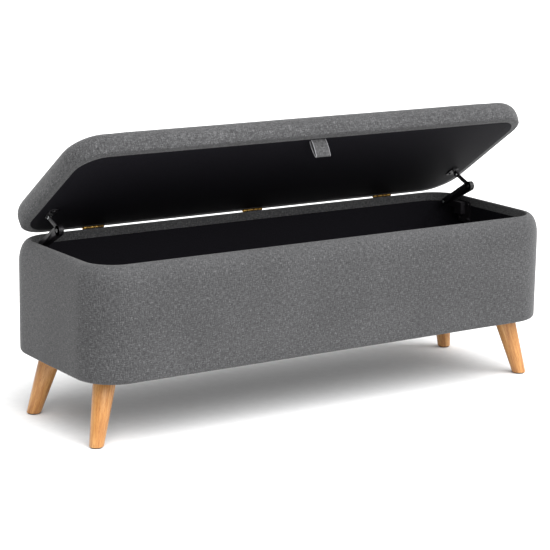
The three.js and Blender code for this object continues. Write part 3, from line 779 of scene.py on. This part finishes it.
def tighten_lower_edge(piece):
    """Brings the lower round, which the even squares blunted, back to its radius."""
    for vertex in piece.data.vertices:
        reach = LID_INSET + LOWER_ROUND - depth_in(vertex.co.x, vertex.co.y)
        if reach > 0 and vertex.normal.z < FACING_DOWN and vertex.co.z < LID_BOTTOM + LOWER_ROUND:
            reach = min(reach, STEEPEST_REACH * LOWER_ROUND)
            vertex.co.z = LID_BOTTOM + LOWER_ROUND - math.sqrt(LOWER_ROUND ** 2 - reach ** 2)


lid_upholstery = lid_form("lid_upholstery", 0, LID_BOTTOM, LOWER_ROUND)
apply_modifier(lid_upholstery, "REMESH", mode="VOXEL", voxel_size=VOXEL)
pick(lid_upholstery, "VERT", lambda vertex: vertex.co.z > LID_BOTTOM + LOWER_ROUND)
bpy.ops.mesh.vertices_smooth(factor=0.5, repeat=SMOOTHING_PASSES)
leave_edit()
swell_as_cloth(lid_upholstery, lambda point: point.z < LID_BOTTOM + STAPLED_BAND)
apply_modifier(lid_upholstery, "SUBSURF", levels=1, render_levels=1)
tighten_lower_edge(lid_upholstery)
print("lid cover", len(lid_upholstery.data.polygons), "faces after the simulation")

# %% [markdown]
# The real cover ends a few centimetres in under the board, where the staples are. The faces
# further in are deleted, and Solidify gives the single skin the thickness of the cloth.

# %% Open the cover under the lid and give it thickness
TURN_SPARE = 0.007          # the lining hides this much more of the turned-in cloth
OPEN_UNDER = LID_INSET + LID_TURN + TURN_SPARE
UNDERSIDE_BAND = 0.003


def under_the_board(face):
    centre = face.calc_center_median()
    return centre.z < LID_BOTTOM + UNDERSIDE_BAND and depth_in(centre.x, centre.y) > OPEN_UNDER


pick(lid_upholstery, "FACE", under_the_board)
bpy.ops.mesh.delete(type="FACE")
leave_edit()
apply_modifier(lid_upholstery, "SOLIDIFY", thickness=FABRIC, offset=-1)
smooth(lid_upholstery, 60)

# %% [markdown]
# The foam slab inside the lid sits on the board and fills the cover. It is cut from the same
# form as the cover, a little smaller, and its underside is level.

# %% Seat foam
BOARD = 0.015
BOARD_TOP = LID_BOTTOM + FABRIC + GAP + BOARD
FOAM_ROOM = 0.0028          # keeps the foam clear of the cover's blunted upper round
FOAM_SKIN = FABRIC + FOAM_ROOM
seat_foam = lid_form("seat_foam_slab", FOAM_SKIN, BOARD_TOP + GAP, 0)
smooth(seat_foam)
seat_foam.data.transform(OPEN_LID)
finish_piece(seat_foam, "lid", "polyurethane_foam", foam, "seat_foam")

# %% [markdown]
# Each hinge barrel lies half in the box's rim and half in the lid's underside, where the
# padding is pressed away round it. A cylinder a little fatter than the barrel is cut out of
# both covers with a Boolean modifier.

# %% Room for the hinge barrels
BARREL = 0.004
BARREL_ROOM = 0.0052
HINGES = {}
for side in ("left", "middle", "right"):
    leaf_low, leaf_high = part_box(f"{side}_hinge_box_leaf")
    HINGES[side] = ((leaf_low.x + leaf_high.x) / 2, (leaf_high.x - leaf_low.x) / 2)


def make_barrel_room(piece):
    for middle, half in HINGES.values():
        reach = half + 0.003
        tool = add_rod("barrel_room", (middle - reach, HINGE.y, HINGE.z),
                       (middle + reach, HINGE.y, HINGE.z), BARREL_ROOM, 24)
        apply_modifier(piece, "BOOLEAN", operation="DIFFERENCE", solver="EXACT", object=tool)
        bpy.data.objects.remove(tool)


make_barrel_room(box_upholstery)
make_barrel_room(lid_upholstery)
lay_cloth(box_upholstery, lambda p, side: (side * round_the_walls(p.x, p.y), 0, up_the_cloth(p)))
lay_cloth(lid_upholstery, lambda p, side: p)
lid_upholstery.data.transform(OPEN_LID)
finish_piece(box_upholstery, "box", "grey_upholstery", weave, "box_cover")
finish_piece(lid_upholstery, "lid", "grey_upholstery", weave, "lid_cover")
finish_piece(wadding, "box", "polyurethane_foam", foam, "box_wadding")

# %% [markdown]
# The linings are cut from the same black non-woven cloth: a band stapled round the inside
# of the walls, a panel over the base board, a panel over the lid's underside that hides the
# cover's stapled edge, and a dust cover under the base. Each is a thin round-cornered panel;
# the edges that show are folded under, so they are a little rounded.

# %% Linings
LINING = 0.001
PANEL_IN = 0.0248           # inner face of the wall boards, in from the outer face
BASE_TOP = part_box("base_board")[1].z
WALL_LINING_TOP = BOX_TOP - RIM_RETURN - GAP
DUST_IN = 0.027
DUST_LINING = 0.0008
SAG = 0.0003                # the wall lining stands off its boards by up to twice this
SAG_LENGTH = 0.07
SAG_RULE = (0.05, 0.04)     # spacing of the lines along and up, so that it can sag


def lining_panel(name, inset, bottom, thickness, folded):
    """A level panel of lining. The folded side, -1 below or 1 above, has its edge rounded."""
    piece = add_round_block(name, LENGTH / 2 - inset, DEPTH / 2 - inset, CORNER - inset,
                            bottom, bottom + thickness)
    edge_height = bottom if folded < 0 else bottom + thickness
    pick(piece, "EDGE", lambda edge: all(abs(v.co.z - edge_height) < 1e-6 for v in edge.verts))
    bpy.ops.mesh.bevel(offset=0.45 * thickness, segments=3, affect="EDGES")
    leave_edit()
    smooth(piece, 40)
    return piece


def wall_lining():
    inset = PANEL_IN + GAP
    bottom = BASE_TOP + LINING + 2 * GAP
    piece = add_round_block("wall_lining_band", LENGTH / 2 - inset, DEPTH / 2 - inset,
                            CORNER - inset, bottom, WALL_LINING_TOP)
    pick(piece, "FACE", lambda face: abs(face.normal.z) > 0.9)
    bpy.ops.mesh.delete(type="FACE")
    leave_edit()
    straight_x = LENGTH / 2 - CORNER
    rule_lines(piece, 0, spread(-straight_x, straight_x, SAG_RULE[0]))
    rule_lines(piece, 2, spread(bottom, WALL_LINING_TOP, SAG_RULE[1]))
    apply_modifier(piece, "SUBSURF", levels=1, render_levels=1)
    for vertex in piece.data.vertices:
        sag = 1 + noise.noise(vertex.co / SAG_LENGTH)
        vertex.co -= vertex.normal * SAG * sag
    apply_modifier(piece, "SOLIDIFY", thickness=LINING, offset=-1)
    smooth(piece, 60)
    return piece


box_lining = wall_lining()
base_lining = lining_panel("floor_lining_panel", PANEL_IN + GAP, BASE_TOP + GAP, LINING, 1)
lid_lining = lining_panel("lid_lining_panel", LID_INSET + LID_TURN, LID_BOTTOM - 0.0009, 0.0013, -1)
lid_lining.data.transform(OPEN_LID)
dust_cover = lining_panel("dust_cover_panel", DUST_IN, BOX_BOTTOM - 0.0011, DUST_LINING, -1)
finish_piece(box_lining, "box", "black_lining", lining, "wall_lining")
finish_piece(base_lining, "box", "black_lining", lining, "floor_lining")
finish_piece(lid_lining, "lid", "black_lining", lining, "lid_lining")
finish_piece(dust_cover, "box", "black_lining", lining, "dust_cover")


# %% [markdown]
# The pull tab is a strap of the cover cloth, folded double into a loop with both ends under
# the front edge of the lid. Seen from the side its two plies bulge apart and meet in a soft
# fold at the tip. A flat grid is laid along that curve and gets its thickness afterwards.

# %% Pull tab
TAB_FRONT = -DEPTH / 2 + MIDDLE_Y + 0.031
TAB_PLY = 0.0017
TAB_LOOP = [(0.9, 0.0), (-0.3, -10.0), (-0.3, -20.0), (0.7, -29.0), (2.3, -37.8), (4.3, -40.4),
            (6.3, -37.8), (8.4, -28.0), (9.1, -18.0), (8.4, -8.0), (7.0, 0.0)]
TAB_ROWS = 60
TAB_COLUMNS = 24


def along_loop(share):
    """A point of the loop, by Catmull-Rom between its points: (back, up) in millimetres."""
    reach = share * (len(TAB_LOOP) - 1)
    index = min(int(reach), len(TAB_LOOP) - 2)
    t = reach - index
    p0, p1, p2, p3 = (Vector(TAB_LOOP[max(0, min(len(TAB_LOOP) - 1, index + i))])
                      for i in (-1, 0, 1, 2))
    return 0.5 * (2 * p1 + (p2 - p0) * t + (2 * p0 - 5 * p1 + 4 * p2 - p3) * t ** 2
                  + (3 * p1 - p0 - 3 * p2 + p3) * t ** 3)


def loop_length():
    points = [along_loop(i / 200) for i in range(201)]
    return sum((b - a).length for a, b in zip(points, points[1:])) / 1000


def pull_tab():
    bpy.ops.object.select_all(action="DESELECT")
    bpy.ops.mesh.primitive_grid_add(x_subdivisions=TAB_COLUMNS, y_subdivisions=TAB_ROWS, size=1)
    piece = new_piece("pull_tab_strap")
    strap = piece.data.attributes.new("cloth", "FLOAT_VECTOR", "POINT")
    length = loop_length()
    for vertex, flat in zip(piece.data.vertices, strap.data):
        across, share = vertex.co.x * 2 * TAB_HALF, vertex.co.y + 0.5
        back, up = along_loop(share)
        flat.vector = (across, 0, share * length)
        vertex.co = (across, TAB_FRONT + back / 1000, LID_BOTTOM + up / 1000)
    choose(piece)
    bpy.ops.object.mode_set(mode="EDIT")
    bpy.ops.mesh.select_all(action="SELECT")
    bpy.ops.mesh.normals_make_consistent(inside=False)
    leave_edit()
    apply_modifier(piece, "SOLIDIFY", thickness=TAB_PLY, offset=0)
    apply_modifier(piece, "BEVEL", width=0.0004, segments=2, limit_method="ANGLE")
    smooth(piece, 50)
    piece.data.transform(OPEN_LID)
    finish_piece(piece, "lid", "grey_upholstery", tab_weave, "pull_tab")
    print("pull tab strap", round(length, 4), "m long")


pull_tab()

# %% [markdown]
# Each leg is turned on a lathe as a straight taper, then its ends are sawn level for the
# splay. By hand: add a cone, lean it along its axis, cut it level at both ends with Bisect,
# and bevel the rims, more at the foot, where a sharp edge would splinter. It is bored for
# its hanger bolt.

# %% Legs and glides
LEG_TOP_R = 0.0246
LEG_FOOT_R = 0.015
LEG_SPARE = 0.02
BORE_R = 0.0043
BORE_DEPTH = 0.042
CORNERS = ("front_left", "front_right", "back_left", "back_right")


def middle_of(node):
    node_low, node_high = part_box(node)
    return (node_low + node_high) / 2


def saw_level(piece, height, drop_above):
    pick(piece, "FACE", lambda face: True)
    bpy.ops.mesh.bisect(plane_co=(0, 0, height), plane_no=(0, 0, 1), use_fill=True,
                        clear_outer=drop_above, clear_inner=not drop_above)
    leave_edit()


def bevel_rim(piece, height, width, steps):
    pick(piece, "EDGE", lambda edge: all(abs(v.co.z - height) < 1e-5 for v in edge.verts))
    bpy.ops.mesh.bevel(offset=width, segments=steps, affect="EDGES")
    leave_edit()


def turned_leg(corner, number):
    leg_low, leg_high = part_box(f"{corner}_leg")
    top = middle_of(f"{corner}_leg_plate")
    top.z = leg_high.z
    foot = middle_of(f"{corner}_glide")
    foot.z = 0
    axis = top - foot
    slope = (LEG_TOP_R - LEG_FOOT_R) / axis.length
    bpy.ops.object.select_all(action="DESELECT")
    bpy.ops.mesh.primitive_cone_add(
        vertices=72, radius1=LEG_FOOT_R - slope * LEG_SPARE, radius2=LEG_TOP_R + slope * LEG_SPARE,
        depth=axis.length + 2 * LEG_SPARE, location=(0, 0, axis.length / 2))
    piece = new_piece(f"{corner}_turned_leg")
    lean = Matrix.Translation(foot) @ axis.to_track_quat("Z", "X").to_matrix().to_4x4()
    piece.data.transform(lean)
    saw_level(piece, leg_low.z, drop_above=False)
    saw_level(piece, leg_high.z, drop_above=True)
    bevel_rim(piece, leg_low.z, 0.0018, 4)
    bevel_rim(piece, leg_high.z, 0.0008, 2)
    bore = add_rod("leg_bore", (top.x, top.y, leg_high.z - BORE_DEPTH),
                   (top.x, top.y, leg_high.z + 0.01), BORE_R, 24)
    apply_modifier(piece, "BOOLEAN", operation="DIFFERENCE", solver="EXACT", object=bore)
    bpy.data.objects.remove(bore)
    smooth(piece, 30)
    line = piece.data.attributes.new("grain_line", "FLOAT_VECTOR", "POINT")
    upright_again = lean.inverted()
    for vertex, place in zip(piece.data.vertices, line.data):
        place.vector = upright_again @ vertex.co + Vector((0.21 * number, 0.13 * number, 0.4 * number))
    return finish_piece(piece, "box", "lacquered_hardwood", rubberwood, f"{corner}_leg")


def glide(corner):
    disc_low, disc_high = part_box(f"{corner}_glide")
    centre = (disc_low + disc_high) / 2
    piece = add_rod(f"{corner}_glide_disc", (centre.x, centre.y, disc_low.z),
                    (centre.x, centre.y, disc_high.z), (disc_high.x - disc_low.x) / 2, 48)
    bevel_rim(piece, disc_low.z, 0.0006, 3)
    smooth(piece, 30)
    return finish_piece(piece, "box", "black_plastic", plastic, f"{corner}_glide")


for number, corner in enumerate(CORNERS):
    turned_leg(corner, number)
    glide(corner)
print("legs", len(CORNERS))

# %% [markdown]
# Sheet-metal parts are made by adding simple solids and joining them with Boolean unions,
# which leaves one closed skin. A flat link with round ends of two sizes is the convex hull
# of two discs. A narrow bevel at every sharp edge stands for the rounding that stamping and
# plating leave, and catches the light.

# %% Tools for metal parts
def merge_solids(piece, others, operation="UNION"):
    for other in others:
        apply_modifier(piece, "BOOLEAN", operation=operation, solver="EXACT", object=other)
        bpy.data.objects.remove(other)
    return piece


def soften_edges(piece, width=0.0003, steps=2):
    apply_modifier(piece, "BEVEL", width=width, segments=steps, limit_method="ANGLE",
                   angle_limit=math.radians(40), use_clamp_overlap=True)
    smooth(piece, 35)
    return piece


def rod_x(name, x0, x1, place, radius, sides=32):
    return add_rod(name, (x0, place.y, place.z), (x1, place.y, place.z), radius, sides)


def link(name, a, b, radius_a, radius_b, x0, x1):
    piece = rod_x(name, x0, x1, a, radius_a, 48)
    other = rod_x("link_end", x0, x1, b, radius_b, 48)
    choose(piece)
    other.select_set(True)
    bpy.ops.object.join()
    pick(piece, "VERT", lambda vertex: True)
    bpy.ops.mesh.convex_hull()
    leave_edit()
    return piece


def riveted_pin(name, x0, x1, place, radius, head_radius, head):
    """A pin with a low domed head past each end."""
    piece = rod_x(name, x0, x1, place, radius)
    for outer, inner_end in ((x0 - head, x0), (x1 + head, x1)):
        dome = rod_x("rivet_head", min(outer, inner_end), max(outer, inner_end), place, head_radius)
        pick(dome, "EDGE", lambda edge: all(abs(v.co.x - outer) < 1e-6 for v in edge.verts))
        bpy.ops.mesh.bevel(offset=0.7 * head, segments=3, affect="EDGES")
        leave_edit()
        merge_solids(piece, [dome])
    smooth(piece, 35)
    return piece


def cross_screw(name, place, turn, radius):
    """A pan-head screw's head, seen along its own +Z, with a cross recess."""
    piece = add_rod(name, (0, 0, 0), (0, 0, 0.55 * radius), radius, 32)
    bevel_rim(piece, 0.55 * radius, 0.4 * radius, 4)
    half, slot = 0.55 * radius, 0.11 * radius
    bars = [add_block("recess", (-x, -y, 0.25 * radius), (x, y, radius))
            for x, y in ((half, slot), (slot, half))]
    merge_solids(piece, bars, "DIFFERENCE")
    smooth(piece, 35)
    piece.data.transform(Matrix.Translation(place) @ turn)
    return piece


# %% [markdown]
# A butt hinge is two leaves rolled round a pin. The box's leaf has the first, third and
# fifth knuckle and is bent down into the back board; the lid's leaf has the other two and
# is let into the lid board. Only the barrel shows between the covers.

# %% Hinges
KNUCKLES = 5
LEAF = 0.0015
PIN_R = 0.00175


def knuckle(x0, x1):
    piece = rod_x("knuckle", x0 + GAP / 2, x1 - GAP / 2, HINGE, BARREL)
    apply_modifier(piece, "BEVEL", width=0.00035, segments=2, limit_method="ANGLE")
    return piece


def hinge_leaf(side, part, plates):
    """The leaf's plates, its knuckles, and room for the other leaf's knuckles."""
    middle, half = HINGES[side]
    pitch = 2 * half / KNUCKLES
    starts = [middle - half + i * pitch for i in range(KNUCKLES)]
    own = starts[0::2] if part == "box" else starts[1::2]
    other = starts[1::2] if part == "box" else starts[0::2]
    leaf = merge_solids(plates[0], plates[1:])
    merge_solids(leaf, [rod_x("room", x - GAP / 2, x + pitch + GAP / 2, HINGE, BARREL + GAP)
                        for x in other], "DIFFERENCE")
    merge_solids(leaf, [knuckle(x, x + pitch) for x in own])
    bore = rod_x("bore", middle - half - 0.01, middle + half + 0.01, HINGE, PIN_R + GAP, 24)
    merge_solids(leaf, [bore], "DIFFERENCE")
    leaf.name = leaf.data.name = f"{side}_hinge_{part}_leaf_brass"
    smooth(leaf, 35)
    return leaf


def build_hinge(side):
    middle, half = HINGES[side]
    leaf_low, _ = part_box(f"{side}_hinge_box_leaf")
    shelf = HINGE.z - BARREL + 0.0006
    x0, x1 = middle - half, middle + half
    box_leaf = hinge_leaf(side, "box", [
        add_block("leaf", (x0, leaf_low.y, leaf_low.z), (x1, leaf_low.y + LEAF, shelf)),
        add_block("shelf", (x0, leaf_low.y, shelf - LEAF), (x1, HINGE.y + LEAF, shelf))])
    finish_piece(box_leaf, "box", "brassed_steel", brass, f"{side}_hinge_box_leaf")
    bottom = LID_BOTTOM + FABRIC + GAP
    lid_leaf = hinge_leaf(side, "lid", [
        add_block("leaf", (x0, HINGE.y - 0.026, bottom), (x1, HINGE.y + LEAF, bottom + LEAF))])
    lid_leaf.data.transform(OPEN_LID)
    finish_piece(lid_leaf, "lid", "brassed_steel", brass, f"{side}_hinge_lid_leaf")
    pin = riveted_pin(f"{side}_hinge_pin_brass", x0 - GAP, x1 + GAP, HINGE, PIN_R, 0.0028, 0.0011)
    finish_piece(pin, "box", "brassed_steel", brass, f"{side}_hinge_pin")


for side in HINGES:
    build_hinge(side)
print("hinges", len(HINGES))

# %% [markdown]
# A lid stay is a folding link. A bracket screwed to the lid carries the flat upper arm; the
# upper arm ends in the wide channel of the lower arm; and the lower arm turns on a bracket
# screwed to the end wall of the box. Its four pivots are the corners of a parallelogram, so
# it folds exactly with the lid. Both stays are made from the same functions; side is -1 at
# the left end and 1 at the right.

# %% Lid stays
ARM = 0.0024
CHANNEL = 0.0108
CHEEK = 0.0016
RIVET_R = 0.0025
RIVET_HEAD = 0.0012
WALL_ARM_R, ELBOW_ARM_R = 0.0075, 0.011
UPPER_ARM_R = (0.005, 0.0046)
BRACKET_REACH = 0.137       # the wall bracket's depths are measured from this far before its pin
STAY_SCREW_R = 0.0036


def stay_pivots(side_name):
    """Wall pivot, elbow and lid pivot, on the stay's middle plane."""
    places = {joint["name"]: Vector(joint["pos_m"]) for joint in frame["joints"]}
    wall = places[f"{side_name}_stay_wall_pivot"]
    elbow = places[f"{side_name}_stay_elbow"]
    rivet = middle_of(f"{side_name}_stay_lid_rivet")
    return wall, elbow, Vector((wall.x, rivet.y, rivet.z))


def lower_arm(wall, elbow):
    x0, x1 = wall.x - CHANNEL / 2, wall.x + CHANNEL / 2
    arm = link("lower_arm", wall, elbow, WALL_ARM_R, ELBOW_ARM_R, x0, x1)
    run = elbow - wall
    angle = math.atan2(run.z, run.y)
    trough = add_block("trough", (x0 + CHEEK, -0.03, -0.054), (x1 - CHEEK, run.length + 0.03, 0.006))
    trough.data.transform(Matrix.Translation(wall) @ Matrix.Rotation(angle, 4, "X"))
    holes = [rod_x("hole", x0 - 0.005, x1 + 0.005, place, RIVET_R + GAP, 24) for place in (wall, elbow)]
    merge_solids(arm, [trough, *holes], "DIFFERENCE")
    return soften_edges(arm, 0.00035)


def upper_arm(elbow, lid_pivot):
    x0, x1 = elbow.x - ARM / 2, elbow.x + ARM / 2
    arm = link("upper_arm", elbow, lid_pivot, *UPPER_ARM_R, x0, x1)
    holes = [rod_x("hole", x0 - 0.005, x1 + 0.005, place, RIVET_R + GAP, 24)
             for place in (elbow, lid_pivot)]
    merge_solids(arm, holes, "DIFFERENCE")
    return soften_edges(arm, 0.0003)


def lid_bracket(pivot, side):
    """Modelled closed: a screw flange under the lid and an ear that hangs from it."""
    ear_out = pivot.x - side * (ARM / 2 + GAP)
    ear_in = ear_out - side * ARM
    top = LID_BOTTOM - 0.0012
    ends = sorted((ear_in - side * 0.017, ear_out))
    flange = add_block("lid_bracket", (ends[0], pivot.y - 0.016, top - 0.0018),
                       (ends[1], pivot.y + 0.016, top))
    bevel_plan_corners(flange, 0.004)
    ear_ends = sorted((ear_in, ear_out))
    disc = rod_x("ear", *ear_ends, pivot, 0.006, 40)
    web = add_block("web", (ear_ends[0], pivot.y - 0.006, pivot.z),
                    (ear_ends[1], pivot.y + 0.006, top - 0.0009))
    hole = rod_x("hole", ear_ends[0] - 0.005, ear_ends[1] + 0.005, pivot, RIVET_R + GAP / 3, 24)
    merge_solids(flange, [disc, web])
    merge_solids(flange, [hole], "DIFFERENCE")
    soften_edges(flange, 0.0003)
    down = Matrix.Rotation(math.pi, 4, "X")
    screws = [cross_screw("lid_screw", (ear_in - side * 0.009, pivot.y + dy, top - 0.0018),
                          down, STAY_SCREW_R)
              for dy in (-0.0085, 0.0085)]
    return flange, screws


def bevel_plan_corners(piece, width):
    pick(piece, "EDGE", upright)
    bpy.ops.mesh.bevel(offset=width, segments=5, affect="EDGES")
    leave_edit()


def wall_bracket(wall, side):
    """A flange on the end wall, a stand-off and a stepped ear that carries the wall pin."""
    face = side * (LENGTH / 2 - PANEL_IN - GAP - LINING - 2 * GAP)
    ear_in = wall.x + side * (CHANNEL / 2 + 0.0016)
    flange_ends = sorted((face - side * 0.002, face))
    back = wall.y - BRACKET_REACH
    flange = add_block("wall_bracket", (flange_ends[0], back + 0.066, wall.z - 0.044),
                       (flange_ends[1], back + 0.112, wall.z + 0.008))
    pick(flange, "EDGE", lambda edge: abs(edge.verts[0].co.x - edge.verts[1].co.x) > 0.001)
    bpy.ops.mesh.bevel(offset=0.005, segments=5, affect="EDGES")
    leave_edit()
    standoff_ends = sorted((ear_in, face - side * 0.001))
    standoff = add_block("standoff", (standoff_ends[0], back + 0.084, wall.z - 0.024),
                         (standoff_ends[1], back + 0.108, wall.z + 0.005))
    ear_ends = sorted((ear_in, ear_in + side * 0.003))
    disc = rod_x("ear", *ear_ends, wall, 0.009, 40)
    web = add_block("web", (ear_ends[0], back + 0.09, wall.z - 0.009),
                    (ear_ends[1], wall.y, wall.z + 0.005))
    hole = rod_x("hole", ear_ends[0] - 0.005, ear_ends[1] + 0.001, wall, RIVET_R + GAP, 24)
    merge_solids(flange, [standoff, disc, web])
    merge_solids(flange, [hole], "DIFFERENCE")
    soften_edges(flange, 0.0004)
    inwards = Matrix.Rotation(-side * math.pi / 2, 4, "Y")
    screws = [cross_screw("wall_screw", (face - side * 0.002, back + y, wall.z + z),
                          inwards, STAY_SCREW_R)
              for y, z in ((0.074, -0.036), (0.104, -0.036), (0.074, 0))]
    return flange, screws


def name_and_finish(piece, name, body, slot, material, *replaced):
    piece.name = piece.data.name = name
    return finish_piece(piece, body, slot, material, *replaced)


def build_stay(side_name, side):
    wall, elbow, lid_pivot = stay_pivots(side_name)
    half = CHANNEL / 2
    prefix = f"{side_name}_stay"
    black = ("black_steel", electrocoat)
    plated = ("zinc_steel", zinc)
    name_and_finish(lower_arm(wall, elbow), f"{prefix}_channel_arm", f"{side_name}_lower_arm",
                    *black, f"{prefix}_lower_arm")
    name_and_finish(upper_arm(elbow, lid_pivot), f"{prefix}_flat_arm", f"{side_name}_upper_arm",
                    *black, f"{prefix}_upper_arm")
    elbow_rivet = riveted_pin("rivet", elbow.x - half - GAP, elbow.x + half + GAP, elbow,
                              RIVET_R, RIVET_R + 0.0022, RIVET_HEAD)
    name_and_finish(elbow_rivet, f"{prefix}_elbow_pin", f"{side_name}_lower_arm", *black,
                    f"{prefix}_elbow_rivet")
    pin_ends = sorted((wall.x - side * (half + GAP), wall.x + side * (half + 0.0016 + 0.003 + GAP)))
    wall_pin = riveted_pin("rivet", *pin_ends, wall, RIVET_R, RIVET_R + 0.0018, RIVET_HEAD)
    name_and_finish(wall_pin, f"{prefix}_wall_rivet", "box", *plated, f"{prefix}_wall_pin")
    ear_far = lid_pivot.x - side * (ARM / 2 + 2 * GAP + ARM)
    lid_ends = sorted((ear_far, lid_pivot.x + side * (ARM / 2 + GAP)))
    lid_pin = riveted_pin("rivet", *lid_ends, lid_pivot, RIVET_R, RIVET_R + 0.0018, RIVET_HEAD)
    name_and_finish(lid_pin, f"{prefix}_lid_pin", "lid", *plated, f"{prefix}_lid_rivet")
    bracket, screws = lid_bracket(OPEN_LID.inverted() @ lid_pivot, side)
    for piece in (bracket, *screws):
        piece.data.transform(OPEN_LID)
    name_and_finish(bracket, f"{prefix}_lid_plate", "lid", *black, f"{prefix}_lid_bracket")
    for number, screw in enumerate(screws, 1):
        name_and_finish(screw, f"{prefix}_lid_screw_{number}", "lid", *black)
    bracket, screws = wall_bracket(wall, side)
    name_and_finish(bracket, f"{prefix}_wall_plate", "box", *black, f"{prefix}_wall_bracket")
    for number, screw in enumerate(screws, 1):
        name_and_finish(screw, f"{prefix}_wall_screw_{number}", "box", *black)


build_stay("left", -1)
build_stay("right", 1)

# %% [markdown]
# Underneath, each leg plate is held by four pan-head screws, and the dust cover and the
# turned-in cloth are held by a row of wire staples. A staple is a thin bar with its two
# ends bent up; one is modelled and copied along the edge, each copy turned with the edge,
# and the row is joined into one piece.

# %% Leg-plate screws and staples
PLATE_HOLE = 0.023          # screws sit this far from the plate's middle, both ways
PLATE_SCREW_R = 0.0038
STAPLE_PITCH = 0.045
STAPLE_IN = 0.031           # the row runs this far in from the box's face
STAPLE_LENGTH = 0.010
STAPLE_WIRE = 0.0011

facing_down = Matrix.Rotation(math.pi, 4, "X")
for corner in CORNERS:
    plate_low, plate_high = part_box(f"{corner}_leg_plate")
    centre = (plate_low + plate_high) / 2
    for number, (sx, sy) in enumerate(((-1, -1), (1, -1), (1, 1), (-1, 1)), 1):
        place = (centre.x + sx * PLATE_HOLE, centre.y + sy * PLATE_HOLE, plate_low.z + 0.0001)
        screw = cross_screw("plate_screw", place, facing_down, PLATE_SCREW_R)
        name_and_finish(screw, f"{corner}_plate_screw_{number}", "box", "zinc_steel", zinc)


def staple():
    piece = add_block("staple", (-STAPLE_LENGTH / 2, -STAPLE_WIRE / 2, -STAPLE_WIRE),
                      (STAPLE_LENGTH / 2, STAPLE_WIRE / 2, 0))
    pick(piece, "FACE", lambda face: abs(face.normal.x) > 0.9)
    bpy.ops.mesh.extrude_faces_move(TRANSFORM_OT_shrink_fatten={"value": -0.0005})
    bpy.ops.transform.translate(value=(0, 0, STAPLE_WIRE / 2))
    leave_edit()
    return piece


def staple_places():
    """Points and directions along the outline, STAPLE_IN inside the box's face."""
    radius = CORNER - STAPLE_IN
    straight_x, straight_y = LENGTH / 2 - CORNER, DEPTH / 2 - CORNER
    places = []
    for x in [-straight_x, *spread(-straight_x, straight_x, STAPLE_PITCH), straight_x]:
        places += [(x, MIDDLE_Y + s * (straight_y + radius), 0.0) for s in (-1, 1)]
    for y in [-straight_y, *spread(-straight_y, straight_y, STAPLE_PITCH), straight_y]:
        places += [(s * (straight_x + radius), MIDDLE_Y + y, math.pi / 2) for s in (-1, 1)]
    for sx in (-1, 1):
        for sy in (-1, 1):
            for degrees in (30, 60):
                a = math.radians(degrees)
                places.append((sx * (straight_x + radius * math.cos(a)),
                               MIDDLE_Y + sy * (straight_y + radius * math.sin(a)),
                               sx * sy * (a + math.pi / 2)))
    return places


def staple_row():
    pattern = staple()
    underside = BOX_BOTTOM - 0.0011
    copies = []
    for x, y, angle in staple_places():
        copy = pattern.copy()
        copy.data = pattern.data.copy()
        bpy.context.scene.collection.objects.link(copy)
        copy.data.transform(Matrix.Translation((x, y, underside)) @ Matrix.Rotation(angle, 4, "Z"))
        copies.append(copy)
    bpy.data.objects.remove(pattern)
    choose(copies[0])
    for copy in copies[1:]:
        copy.select_set(True)
    bpy.ops.object.join()
    row = bpy.context.object
    name_and_finish(row, "dust_cover_staples", "box", "zinc_steel", zinc)
    return len(copies)


print("staples", staple_row())
